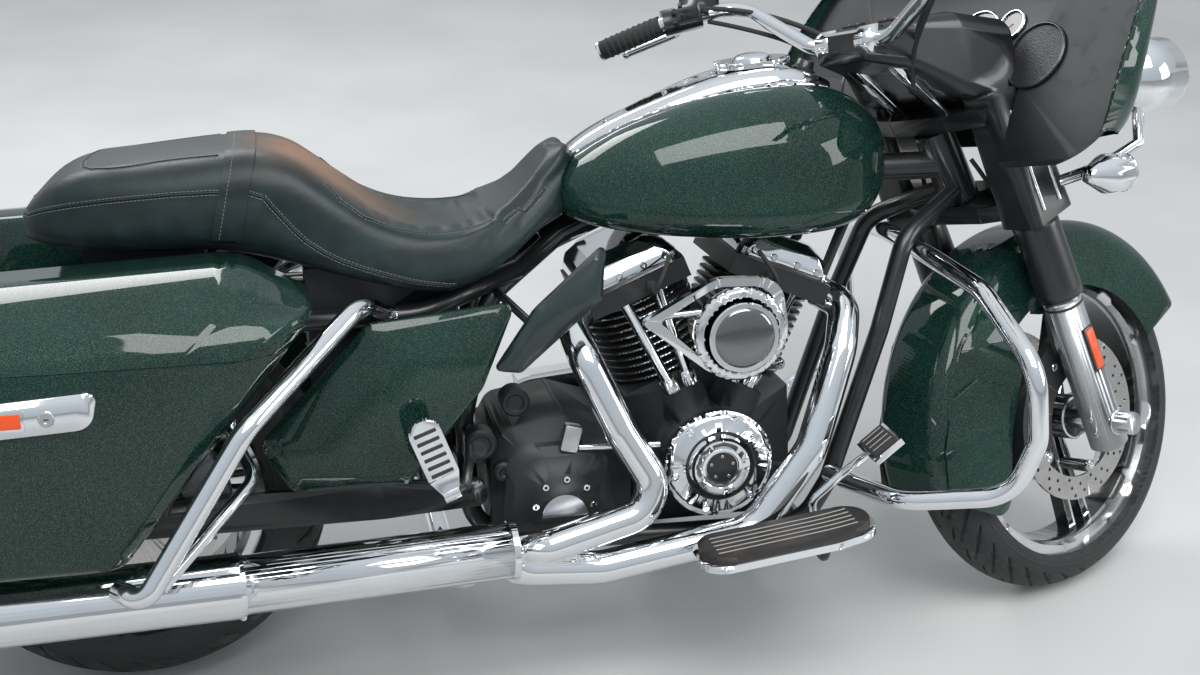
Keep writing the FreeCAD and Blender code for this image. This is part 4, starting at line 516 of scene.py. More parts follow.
class Finish(Enum):
    """The machine's finishes; each is made once."""

    PAINT = FlakePaint()
    CHROME = Metal("chrome_plate", (0.80, 0.82, 0.84), 0.055, 0.02, 60, 0.012, 0.05)
    ALUMINIUM = Metal("satin_aluminium", (0.56, 0.575, 0.59), 0.33, 0.08, 3, 0.03, 0.1)
    CAST = Metal("cast_alloy", (0.20, 0.205, 0.21), 0.46, 0.08, 1.6, 0.12, 0.2)
    MACHINED = Metal("machined_edge", (0.66, 0.67, 0.68), 0.24, 0.06, 2, 0.02, 0.1)
    STEEL = Metal("ground_steel", (0.50, 0.49, 0.48), 0.26, 0.06, 2, 0.02, 0.2)
    BLACK = Plastic("satin_black", (0.010, 0.011, 0.012), 0.34, 0.6, 0.03, dusty=0.12, coat=0.3)
    WHEEL_BLACK = Plastic("gloss_black", (0.008, 0.009, 0.010), 0.22, 3.0, 0.01, dusty=0.10, coat=0.6)
    ENGINE_BLACK = Plastic("engine_black", (0.013, 0.014, 0.015), 0.5, 0.9, 0.08, dusty=0.25)
    UNDERSIDE = Plastic("fender_lining", (0.010, 0.010, 0.010), 0.75, 2.2, 0.2, dusty=0.5)
    PLASTIC = Plastic("moulded_plastic", (0.007, 0.010, 0.011), 0.50, 0.7, 0.09, dusty=0.06)
    RUBBER = Plastic("black_rubber", (0.018, 0.019, 0.020), 0.62, 0.9, 0.08, dusty=0.2)
    # Its brown patches are painted highlight: warm light on the black rubber, laid at random places.
    PAD = Plastic("board_rubber", (0.022, 0.020, 0.019), 0.58, 1.2, 0.10, (0.16, 0.085, 0.06), 0.5)
    STRIPE = Plastic("pad_stripe", (0.30, 0.28, 0.26), 0.6, 1.0, 0.05)
    LEATHER = Leather()
    THREAD = Plastic("stitch_thread", (0.16, 0.18, 0.18), 0.7, 0.5, 0.05)
    FRONT_TYRE = TyreRubber("front_tyre_rubber", FRONT_AXLE, True, 262)
    REAR_TYRE = TyreRubber("rear_tyre_rubber", REAR_AXLE, False, 232)
    DEFLECTOR = Plastic("deflector_black", (0.010, 0.022, 0.023), 0.33, 2.0, 0.02, dusty=0.08, coat=0.35)
    SOOT = Plastic("outlet_soot", (0.008, 0.008, 0.008), 0.8, 1.5, 0.1, dusty=0.3)
    MESH = Plastic("speaker_mesh", (0.012, 0.012, 0.013), 0.45, 3.0, 0.9, dusty=0.05)
    SMOKED = Glass("smoked_screen", (0.10, 0.115, 0.12), 0.03)
    FLUTED = Glass("fluted_lens", (0.93, 0.95, 0.96), 0.02, 1.0, ribs=9)
    AMBER = Glass("amber_lens", (1.0, 0.26, 0.02), 0.12, 0.35, ribs=4, glow=0.05)
    RED = Glass("red_lens", (0.72, 0.012, 0.010), 0.10, 0.3, ribs=4, glow=0.03)
    # The reflectors' glow is painted light: they are no lamps, and it stands in for the light they send back.
    REFLECTOR = Glass("orange_reflector", (0.85, 0.10, 0.02), 0.15, 0.2, ribs=2.4, glow=0.06)
    WINDOW = Metal("smoky_window", (0.22, 0.225, 0.23), 0.10, 0.02, 40, 0.01, 0.1)
    MIRROR = Metal("mirror_glass", (0.88, 0.89, 0.90), 0.02, 0.0, 80, 0.0, 0.0)
    DIAL = Plastic("dial_face", (0.006, 0.006, 0.007), 0.3, 4, 0.0, coat=0.8)
    MARK = Plastic("dial_mark", (0.65, 0.65, 0.62), 0.5, 4, 0.0)
    SCREEN = Glass("screen_glass", (0.42, 0.30, 0.12), 0.08, 0.0, glow=0.25)
    PLATE = Metal("plate_blank", (0.72, 0.73, 0.72), 0.38, 0.05, 5, 0.02, 0.1)

    def material(self) -> bpy.types.Material:
        """The finish's material."""
        made = bpy.data.materials.get(self.value.name)
        return made or self.value.make()


class Body(Enum):
    """The bodies that added pieces ride on, and whether they turn with the steering."""

    CHASSIS = ("chassis", False)
    STEERING = ("steering", True)
    FRONT_WHEEL = ("front_wheel", True)
    REAR_WHEEL = ("rear_wheel", False)
    FUEL_DOOR = ("fuel_door", False)
    PEG_RIGHT = ("peg_right", False)
    PEG_LEFT = ("peg_left", False)
    BOARD_RIGHT = ("board_right", False)
    BOARD_LEFT = ("board_left", False)

    @property
    def steered(self) -> bool:
        """Whether the body turns with the steering."""
        return self.value[1]


def deselect() -> None:
    """Deselect every object."""
    for item in list(bpy.context.selected_objects):
        item.select_set(False)


def activate(*items: bpy.types.Object) -> None:
    """Select some objects alone, the last of them active."""
    deselect()
    for item in items:
        item.select_set(True)
        bpy.context.view_layer.objects.active = item


@contextmanager
def editing(item: bpy.types.Object) -> Iterator[None]:
    """Edit an object's mesh, with everything in it selected."""
    activate(item)
    bpy.ops.object.mode_set(mode="EDIT")
    bpy.ops.mesh.select_all(action="SELECT")
    yield
    bpy.ops.object.mode_set(mode="OBJECT")


def smooth(item: bpy.types.Object, angle: float = 35) -> None:
    """Shade an object smooth, apart from edges sharper than an angle in degrees."""
    activate(item)
    bpy.ops.object.shade_smooth_by_angle(angle=math.radians(angle))


def put(item: bpy.types.Object, matrix: Matrix) -> bpy.types.Object:
    """Place a piece that was drawn about the origin, its place in its mesh."""
    item.matrix_world = matrix
    activate(item)
    bpy.ops.object.transform_apply(location=True, rotation=True, scale=True)
    return item


def lathe(name: str, rows: Sequence[Pair], matrix: Matrix, sides: int = 48) -> bpy.types.Object:
    """Turn a profile about Z by extruding a circle ring by ring.

    Args:
        name: the piece's name.
        rows: (place along Z, radius) pairs in millimetres; a radius of 0 closes the end.
        matrix: where the piece goes.
        sides: how many sides the circle has.

    Returns:
        The piece.
    """
    tiny = 0.002
    deselect()
    place, radius = rows[0]
    bpy.ops.mesh.primitive_circle_add(
        vertices=sides,
        radius=max(radius, tiny) * MM,
        fill_type="NOTHING",
        location=(0, 0, 0),
        enter_editmode=True,
    )
    item = bpy.context.object
    bpy.ops.mesh.select_mode(type="VERT")
    bpy.ops.mesh.select_all(action="SELECT")
    bpy.ops.transform.translate(value=(0, 0, place * MM))
    for (last_place, last_radius), (place, radius) in zip(rows, rows[1:]):
        move = {"value": (0, 0, (place - last_place) * MM)}
        bpy.ops.mesh.extrude_region_move(TRANSFORM_OT_translate=move)
        scale = max(radius, tiny) / max(last_radius, tiny)
        bpy.ops.transform.resize(value=(scale, scale, 1))
    bpy.ops.mesh.select_all(action="SELECT")
    bpy.ops.mesh.remove_doubles(threshold=0.01 * MM)
    bpy.ops.mesh.normals_make_consistent(inside=False)
    bpy.ops.object.mode_set(mode="OBJECT")
    item.name = name
    return put(item, matrix)


def rod_rows(length: float, radius: float, edge: float) -> list[Pair]:
    """Profile of a round bar with bevelled ends."""
    start = [(0, 0), (0, radius - edge), (edge, radius)]
    return start + [(length - edge, radius), (length, radius - edge), (length, 0)]


def dome_rows(radius: float, height: float, start: float = 0, steps: int = 8) -> list[Pair]:
    """Profile of a dome that stands on Z = start."""
    rows = []
    for number in range(steps + 1):
        angle = math.pi / 2 * number / steps
        rows.append((start + height * math.sin(angle), radius * math.cos(angle)))
    return rows


def cap_rows(radius: float, height: float, start: float = 0, steps: int = 8) -> list[Pair]:
    """Profile of a dome with its flat underside."""
    return [(start, 0)] + dome_rows(radius, height, start, steps)


def block(name: str, size: Triple, matrix: Matrix, edge: float = 1.5) -> bpy.types.Object:
    """A box with rounded edges about its middle, sizes in millimetres."""
    deselect()
    bpy.ops.mesh.primitive_cube_add(size=1, location=(0, 0, 0), enter_editmode=True)
    item = bpy.context.object
    bpy.ops.transform.resize(value=tuple(side * MM for side in size))
    limit = min(edge, 0.45 * min(size))
    bpy.ops.mesh.bevel(offset=limit * MM, segments=2, affect="EDGES")
    bpy.ops.object.mode_set(mode="OBJECT")
    item.name = name
    return put(item, matrix)


def rounded(corners: Sequence[Triple], steps: int = 5) -> list[Pair]:
    """Points round a closed outline with corners (u, v, radius)."""
    points = [Vector((u, v)) for u, v, _ in corners]
    outline: list[Pair] = []
    for number, (_, _, radius) in enumerate(corners):
        corner = points[number]
        back = points[number - 1] - corner
        ahead = points[(number + 1) % len(points)] - corner
        reach = min(radius, 0.48 * min(back.length, ahead.length))
        if reach <= 0:
            outline.append(tuple(corner))
            continue
        start, end = corner + back.normalized() * reach, corner + ahead.normalized() * reach
        for step in range(steps + 1):
            share = step / steps
            first, second = start.lerp(corner, share), corner.lerp(end, share)
            outline.append(tuple(first.lerp(second, share)))
    return outline


def plate(
    name: str,
    outlines: Sequence[Sequence[Pair]],
    thickness: float,
    matrix: Matrix,
    edge: float = 0.8,
) -> bpy.types.Object:
    """A flat piece from closed outlines, the later ones its holes, with rounded edges.

    Args:
        name: the piece's name.
        outlines: closed outlines in millimetres.
        thickness: how far it reaches along Z, from 0.
        matrix: where the piece goes.
        edge: radius of its edges.

    Returns:
        The piece.
    """
    curve = bpy.data.curves.new(name, "CURVE")
    curve.dimensions = "2D"
    curve.fill_mode = "BOTH"
    curve.bevel_depth = min(edge, thickness * 0.45) * MM
    curve.bevel_resolution = 1
    curve.extrude = thickness / 2 * MM - curve.bevel_depth
    curve.offset = -curve.bevel_depth
    for outline in outlines:
        spline = curve.splines.new("POLY")
        spline.points.add(len(outline) - 1)
        spline.use_cyclic_u = True
        for point, (u, v) in zip(spline.points, outline):
            point.co = (u * MM, v * MM, 0, 1)
    item = bpy.data.objects.new(name, curve)
    bpy.context.scene.collection.objects.link(item)
    activate(item)
    bpy.ops.object.convert(target="MESH")
    item = bpy.context.object
    with editing(item):
        bpy.ops.transform.translate(value=(0, 0, thickness / 2 * MM))
        bpy.ops.mesh.remove_doubles(threshold=0.01 * MM)
        bpy.ops.mesh.normals_make_consistent(inside=False)
    return put(item, matrix)


def hose(name: str, points: Sequence[Vector], radius: float, sides: int = 3) -> bpy.types.Object:
    """A tube along a smooth curve near its points, which are in the frame's metres."""
    curve = bpy.data.curves.new(name, "CURVE")
    curve.dimensions = "3D"
    curve.bevel_depth = radius * MM
    curve.bevel_resolution = sides
    curve.use_fill_caps = True
    curve.resolution_u = 8
    spline = curve.splines.new("NURBS")
    spline.points.add(len(points) - 1)
    for knot, point in zip(spline.points, points):
        knot.co = (*point, 1)
    spline.order_u = 3
    spline.use_endpoint_u = True
    item = bpy.data.objects.new(name, curve)
    bpy.context.scene.collection.objects.link(item)
    activate(item)
    bpy.ops.object.convert(target="MESH")
    item = bpy.context.object
    smooth(item, 50)
    return item


def copies(name: str, model: bpy.types.Object, places: Sequence[Matrix]) -> bpy.types.Object:
    """One piece of many copies of a model that was drawn about the origin; the model becomes it."""
    gathered = bmesh.new()
    for matrix in places:
        mesh = model.data.copy()
        mesh.transform(matrix)
        gathered.from_mesh(mesh)
        bpy.data.meshes.remove(mesh)
    gathered.to_mesh(model.data)
    gathered.free()
    model.name = name
    model.data.name = name
    return model


def join(name: str, items: Sequence[bpy.types.Object]) -> bpy.types.Object:
    """Several pieces as one."""
    activate(*items)
    if len(items) > 1:
        bpy.ops.object.join()
    item = bpy.context.object
    item.name = name
    item.data.name = name
    return item


def apply_modifier(item: bpy.types.Object, kind: str, **settings: object) -> None:
    """Add a modifier and apply it."""
    modifier = item.modifiers.new(kind.lower(), kind)
    for name, value in settings.items():
        setattr(modifier, name, value)
    activate(item)
    bpy.ops.object.modifier_apply(modifier=modifier.name)


def screw_head(
    radius: float,
    height: float,
    sides: int = 24,
    bevel: tuple[float, int] = (0.12, 1),
    inset: float = 0.38,
    rise: float = -0.55,
) -> bpy.types.Object:
    """A screw's head that stands on the origin; without more, a cap screw's, with its socket.

    Args:
        radius: its radius in millimetres.
        height: its height in millimetres.
        sides: how many sides it has.
        bevel: the bevel of its edges, as a share of the radius, and its segments.
        inset: how far in the middle of its top starts, as a share of the radius.
        rise: how far that middle moves up, as a share of the height.

    Returns:
        The piece.
    """
    deselect()
    bpy.ops.mesh.primitive_cylinder_add(
        vertices=sides,
        radius=radius * MM,
        depth=height * MM,
        location=(0, 0, height / 2 * MM),
        enter_editmode=True,
    )
    item = bpy.context.object
    edge, segments = bevel
    bpy.ops.mesh.bevel(offset=edge * radius * MM, segments=segments, affect="EDGES")
    bpy.ops.object.mode_set(mode="OBJECT")
    choose_faces(item, lambda centre, normal: normal.z > 0.9)
    bpy.ops.object.mode_set(mode="EDIT")
    bpy.ops.mesh.inset(thickness=inset * radius * MM)
    move = {"value": (0, 0, rise * height * MM)}
    bpy.ops.mesh.extrude_region_move(TRANSFORM_OT_translate=move)
    bpy.ops.object.mode_set(mode="OBJECT")
    return item


def choose_faces(item: bpy.types.Object, wanted: Callable[[Vector, Vector], bool]) -> int:
    """Select the faces whose middle and normal pass a test, and count them."""
    activate(item)
    bpy.ops.object.mode_set(mode="EDIT")
    bpy.ops.mesh.select_all(action="DESELECT")
    bpy.ops.mesh.select_mode(type="FACE")
    bpy.ops.object.mode_set(mode="OBJECT")
    count = 0
    for face in item.data.polygons:
        face.select = wanted(face.center, face.normal)
        count += face.select
    return count


def second_finish(item: bpy.types.Object, finish: Finish, wanted: Callable[[Vector, Vector], bool]) -> None:
    """Give the faces whose middle and normal pass a test another finish."""
    item.data.materials.append(finish.material())
    number = len(item.data.materials) - 1
    for face in item.data.polygons:
        if wanted(face.center, face.normal):
            face.material_index = number


def settle(item: bpy.types.Object, body: Body, finish: Finish) -> bpy.types.Object:
    """Finish a piece: its material and the body it rides on."""
    if not item.data.materials:
        item.data.materials.append(finish.material())
    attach(item, body.value[0])
    return item


@dataclass
class SubAssembly:
    """A part of the machine with the pieces that dress it."""

    pieces: list[bpy.types.Object] = field(default_factory=list, init=False)

    @staticmethod
    def surface(node: str) -> bpy.types.Object:
        """The piece that stands for a frame node."""
        return bpy.data.objects[f"{node}_surface"]

    def keep(
        self,
        item: bpy.types.Object,
        body: Body,
        finish: Finish,
        slot: str,
        angle: Optional[float] = 35,
    ) -> bpy.types.Object:
        """Finish a piece and note it."""
        if angle is not None:
            smooth(item, angle)
        item.data.name = item.name
        settle(item, body, finish)
        self.pieces.append(item)
        LOG.info("%s rides on %s", item.name, body.value[0])
        return item

    def skin(self, node: str, finish: Finish, angle: float = 30) -> bpy.types.Object:
        """A smooth copy of a frame node that stands for it.

        Args:
            node: the node's name.
            finish: what it is made of.
            angle: edges sharper than this stay sharp, in degrees.

        Returns:
            The piece.
        """
        original = frame["nodes"][node]
        item = bpy.data.objects.new(f"{node}_surface", original.data.copy())
        bpy.context.scene.collection.objects.link(item)
        item.data.materials.clear()
        item.data.materials.append(finish.material())
        for face in item.data.polygons:
            face.material_index = 0
        with editing(item):
            bpy.ops.mesh.remove_doubles(threshold=0.004 * MM)
        smooth(item, angle)
        host = original["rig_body"]
        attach(item, host)
        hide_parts(node)
        self.pieces.append(item)
        LOG.info("%s stands for %s", item.name, node)
        return item


class Paintwork(SubAssembly):
    """The painted panels: tank, fenders, side covers, bags, lids and fairing."""

    def build(self) -> None:
        """Dress the painted panels."""
        for node in ("fuel_tank", "side_covers", "saddlebags", "lid_right", "lid_left", "outer_fairing"):
            self.skin(node, Finish.PAINT)
        self._fender("rear_fender", REAR_AXLE, False)
        self._fender("front_fender", FRONT_AXLE, True)

    def _fender(self, node: str, axle: Triple, steered: bool) -> None:
        """Dress a fender, black inside."""
        item = self.skin(node, Finish.PAINT)
        centre = MACHINE.point(axle, steered)
        axis = MACHINE.way((0, 1, 0), steered)

        def inside(middle: Vector, normal: Vector) -> bool:
            """Whether a face looks at the wheel."""
            reach = middle - centre
            across = reach.dot(axis)
            outward = reach - axis * across
            toward_wheel = normal.dot(outward.normalized()) < -0.3
            toward_middle = normal.dot(axis) * across < 0 and abs(normal.dot(axis)) > 0.5
            return toward_wheel or toward_middle

        second_finish(item, Finish.UNDERSIDE, inside)


def landing(item: bpy.types.Object, start: Vector, way: Vector) -> tuple[Vector, Vector]:
    """Where a ray meets an object's surface, and the surface's normal there.

    Raises:
        ValueError: when the ray meets nothing.
    """
    hit, place, normal, _ = item.ray_cast(start, way.normalized())
    if not hit:
        raise ValueError(f"no surface of {item.name} on the ray from {tuple(start)}")
    return place, normal


def facing(place: Vector, normal: Vector, hint: Vector) -> Matrix:
    """A place in the frame whose Z points along a normal and whose X is near a hint."""
    z_axis = normal.normalized()
    x_axis = (hint - z_axis * hint.dot(z_axis)).normalized()
    turn = Matrix((x_axis, z_axis.cross(x_axis), z_axis)).transposed().to_4x4()
    turn.translation = place
    return turn


def seated(
    item: bpy.types.Object,
    start: Vector,
    way: Vector,
    hint: Vector = AHEAD,
    sink: float = 0.3,
) -> Matrix:
    """The place where a ray meets a piece, sunk into its surface by some millimetres."""
    place, normal = landing(item, start, way)
    return facing(place - normal * sink * MM, normal, hint)


def ring_rows(outer: float, inner: float, height: float, edge: float = 0.8) -> list[Pair]:
    """Profile of a ring that stands on Z = 0, closed by meeting itself."""
    rows = [(0, inner), (0, outer - edge), (edge, outer), (height - edge, outer), (height, outer - edge)]
    return rows + [(height, inner + edge), (height - edge, inner), (0, inner)]


class Mechanicals(SubAssembly):
    """Every other piece of the frame in its own finish."""

    finishes = {
        Finish.BLACK: "frame_cradle swingarm body_brackets fork_yokes fork_cowls front_calipers "
        "air_cleaner_body",
        Finish.ENGINE_BLACK: "crankcase gearbox",
        Finish.CHROME: "rocker_covers cam_cover_and_pushrod_tubes primary_cover air_cleaner_trim mufflers "
        "exhaust_pipes tank_console fuel_door bag_latches engine_guard saddlebag_guards foot_controls "
        "handlebar front_lamps board_right board_left peg_right peg_left side_stand",
        Finish.ALUMINIUM: "fork_sliders",
        Finish.STEEL: "rear_disc",
        Finish.CAST: "rear_caliper",
        Finish.PLASTIC: "inner_fairing battery_tray",
        Finish.DEFLECTOR: "mid_deflectors",
        Finish.RUBBER: "drive_belt",
        Finish.PAD: "board_pad_right board_pad_left",
        Finish.SMOKED: "windshield",
    }

    def build(self) -> None:
        """Dress them, then the ones of two finishes."""
        for finish, nodes in self.finishes.items():
            for node in nodes.split():
                self.skin(node, finish)
        self._cylinders()
        self._tubes()
        self._shocks()
        self._controls()
        self._tail()

    def _cylinders(self) -> None:
        """Black barrels whose fins have bright machined edges."""
        item = self.skin("cylinders", Finish.ENGINE_BLACK)
        lean = CYLINDER_LEAN
        axes = [MACHINE.way((sign * math.sin(lean), 0, math.cos(lean))) for sign in (-1, 1)]
        crank = MACHINE.point(CRANK)

        def fin_edge(middle: Vector, normal: Vector) -> bool:
            """Whether a face is on the rim of a fin."""
            for axis in axes:
                reach = middle - crank
                outward = reach - axis * reach.dot(axis)
                near_rim = 93 * MM < outward.length < 98 * MM
                if near_rim and normal.dot(outward.normalized()) > 0.9 and reach.dot(axis) < 0.297:
                    return True
            return False

        second_finish(item, Finish.MACHINED, fin_edge)

    def _tubes(self) -> None:
        """Polished fork tubes under black covers."""
        item = self.skin("fork_tubes", Finish.BLACK)
        axis = MACHINE.way((-math.sin(FORK_LEAN), 0, math.cos(FORK_LEAN)), True)
        axle = MACHINE.point(FRONT_AXLE, True)
        second_finish(item, Finish.STEEL, lambda middle, _: (middle - axle).dot(axis) < 0.256)

    def _shocks(self) -> None:
        """Shock absorbers: black bodies with steel rods."""
        item = self.skin("rear_shocks", Finish.BLACK)
        low = MACHINE.point((52, 0, 340))
        second_finish(item, Finish.STEEL, lambda middle, _: (middle - low).dot(UPWARD) > 0.150)

    def _controls(self) -> None:
        """Grips, switch housings, levers and mirrors at the ends of the handlebar."""
        item = self.skin("bar_controls", Finish.CHROME)
        inward = MACHINE.matrix(True).inverted()
        start, end = grip_line(1)
        way = (end - start).normalized()

        def local(middle: Vector) -> Vector:
            """A face's middle on the upright machine's left half, in millimetres."""
            place = inward @ middle / MM
            place.y = abs(place.y)
            return place

        def grip(middle: Vector, _: Vector) -> bool:
            """Whether a face is on a grip."""
            reach = local(middle) - start
            along = reach.dot(way)
            return 11 < along < 128 and (reach - way * along).length < 17.6

        def housing(middle: Vector, _: Vector) -> bool:
            """Whether a face is on a switch housing or a fluid reservoir."""
            place = local(middle)
            reach = place - start
            along = reach.dot(way)
            near = -80 < along < 11 and (reach - way * along).length < 25
            return near or (1095 < place.x < 1147 and 267 < place.y < 319 and place.z > 1085)

        second_finish(item, Finish.RUBBER, grip)
        second_finish(item, Finish.BLACK, housing)

    def _tail(self) -> None:
        """Tail lamps: chrome shells with red lenses, and the blank plate."""
        item = self.skin("tail_lamps", Finish.CHROME)
        inward = MACHINE.matrix().inverted()

        def lens(middle: Vector, normal: Vector) -> bool:
            """Whether a face is on the back of a lamp."""
            place = inward @ middle / MM
            return normal.dot(AHEAD) < -0.55 and place.z > 480

        def plate_face(middle: Vector, normal: Vector) -> bool:
            """Whether a face is on the plate."""
            place = inward @ middle / MM
            return place.z < 475 and normal.dot(AHEAD) < -0.5

        second_finish(item, Finish.RED, lens)
        second_finish(item, Finish.PLATE, plate_face)


@dataclass
class Wheel(SubAssembly):
    """One wheel's tyre with its tread, its cast rim and what is bolted to it."""

    name: str
    body: Body
    axle: Triple
    radius: float
    half: float
    seat: float
    groove_count: int
    slot: str = "tyre"

    def build(self) -> None:
        """Dress the wheel."""
        self._tyre()
        self._rim()
        self._valve()

    def spin(self, angle: float) -> Vector:
        """The direction away from the axle at an angle in degrees."""
        turn = math.radians(angle)
        return Vector((math.cos(turn), 0, math.sin(turn)))

    def place(self, reach: float, angle: float, across: float, normal: Triple, hint: Triple) -> Matrix:
        """A place on the wheel by its distance from the axle, its angle and its place along the axle."""
        at = Vector(self.axle) + self.spin(angle) * reach + Vector((0, across, 0))
        return MACHINE.seat(at, normal, self.body.steered, hint)

    def _tyre(self) -> None:
        """Cut the tread's grooves into the tyre."""
        finish = Finish.FRONT_TYRE if self.body is Body.FRONT_WHEEL else Finish.REAR_TYRE
        item = self.skin(f"{self.name}_tyre", finish, 40)
        crown = self.radius - self.half
        width = self.half / 65
        pitch = 360 / self.groove_count
        depth = 5.2
        shapes = (
            (32, 0.0, [(-30, -20), (-8, -4), (12, 9), (27, 15), (26, 18.5), (10, 13), (-11, 0), (-32, -15)]),
            (53, 0.5, [(-16, -13), (0, -5), (15, 6), (14, 9), (-2, -1), (-17, -9)]),
            (12, 0.25, [(-15, -7), (0, -3), (15, 5), (14, 8), (-1, 0.5), (-16, -4)]),
        )
        for side in (-1, 1):
            for lean, shift, outline in shapes:
                turned = [(u, side * v * width) for u, v in outline]
                model = plate("blade", [turned if side > 0 else turned[::-1]], 17, Matrix.Identity(4), 0.3)
                places = []
                tilt = math.radians(lean)
                for number in range(self.groove_count):
                    angle = (number + shift + (0.5 if side > 0 else 0)) * pitch
                    out = self.spin(angle)
                    normal = out * math.cos(tilt) + Vector((0, side * math.sin(tilt), 0))
                    reach = crown + self.half * math.cos(tilt) - depth * math.cos(tilt)
                    across = side * (self.half * math.sin(tilt) - depth * math.sin(tilt))
                    hint = Vector((0, 1, 0)).cross(out)
                    places.append(self.place(reach, angle, across, normal, hint))
                self._cut(item, copies("blades", model, places))
        smooth(item, 40)
        for side in (-1, 1):
            rows = [(0, self.seat + 27), (1.6, self.seat + 29), (1.6, self.seat + 31), (0, self.seat + 33)]
            reach = math.sqrt(self.half**2 - (self.seat + 30 - crown) ** 2)
            at = Vector(self.axle) + Vector((0, side * (reach - 0.9), 0))
            matrix = MACHINE.seat(at, (0, side, 0), self.body.steered)
            bead = lathe(f"{self.name}_tyre_ridge_{side}", rows, matrix, 96)
            self.keep(bead, self.body, finish, self.slot, 60)

    @staticmethod
    def _cut(item: bpy.types.Object, cutter: bpy.types.Object) -> None:
        """Take one object's shape out of another's."""
        apply_modifier(item, "BOOLEAN", operation="DIFFERENCE", object=cutter, solver="EXACT")
        bpy.data.objects.remove(cutter)

    def _rim(self) -> None:
        """A black rim with machined flanges and spoke edges."""
        item = self.skin(f"{self.name}_rim", Finish.WHEEL_BLACK)
        centre = MACHINE.point(self.axle, self.body.steered)
        axis = MACHINE.way((0, 1, 0), self.body.steered)
        item.data.materials.append(Finish.MACHINED.material())

        def reach(middle: Vector) -> tuple[float, float]:
            """How far a point is from the axle and along it, in millimetres."""
            offset = middle - centre
            along = offset.dot(axis)
            return (offset - axis * along).length / MM, along / MM

        def spoke_face(middle: Vector, normal: Vector) -> bool:
            """Whether a face is on a spoke's outer side."""
            away, along = reach(middle)
            return abs(normal.dot(axis)) > 0.98 and 50 < away < self.seat - 16 and abs(along) < 16

        choose_faces(item, spoke_face)
        for face in item.data.polygons:
            away, _ = reach(face.center)
            flange = abs(face.normal.dot(axis)) > 0.35 and away > self.seat - 14
            face.material_index = 1 if face.select or flange else 0
        bpy.ops.object.mode_set(mode="EDIT")
        bpy.ops.mesh.inset(thickness=3.2 * MM, depth=-1.5 * MM)
        bpy.ops.object.mode_set(mode="OBJECT")
        for face in item.data.polygons:
            if face.select:
                face.material_index = 0
        smooth(item, 30)

    def _valve(self) -> None:
        """The tyre's valve, out of the band between two spokes."""
        matrix = self.place(self.seat - 16, 216, 0, -self.spin(216), (0, 1, 0))
        rows = [(-2, 6), (0, 6.5), (3, 5), (5, 3.4), (24, 3.0), (24, 4.2), (34, 4.2), (36, 0)]
        self.keep(lathe(f"{self.name}_valve", rows, matrix, 20), self.body, Finish.BLACK, "black_metal")


class FrontWheel(Wheel):
    """The front wheel with its drilled discs."""

    def build(self) -> None:
        """Dress the wheel and drill its discs."""
        super().build()
        item = self.skin("front_discs", Finish.STEEL)
        model = lathe("drill", [(-100, 0), (-100, 3.3), (100, 3.3), (100, 0)], Matrix.Identity(4), 14)
        places = []
        for number in range(24):
            for step, reach in enumerate((115, 129, 143) if number % 2 else (122, 136)):
                angle = number * 15 + step * 4.5
                places.append(self.place(reach, angle, 0, (0, 1, 0), self.spin(angle)))
        self._cut(item, copies("drills", model, places))
        smooth(item, 30)
        places = []
        for side in (-1, 1):
            for number in range(5):
                hint = self.spin(number * 72)
                places.append(self.place(101, -number * 72, side * 77, (0, side, 0), hint))
        bolts = copies("front_disc_bolts", screw_head(6.5, 4), places)
        self.keep(bolts, self.body, Finish.CHROME, "steel")
        for side in (-1, 1):
            rows = [(0, 34), (0, 38), (4, 39), (6, 36), (3, 34), (0, 34)]
            matrix = MACHINE.seat(Vector(self.axle) + Vector((0, side * 70, 0)), (0, side, 0), True)
            cap = lathe(f"front_hub_ring_{side}", rows, matrix, 48)
            self.keep(cap, self.body, Finish.MACHINED, "black_metal")


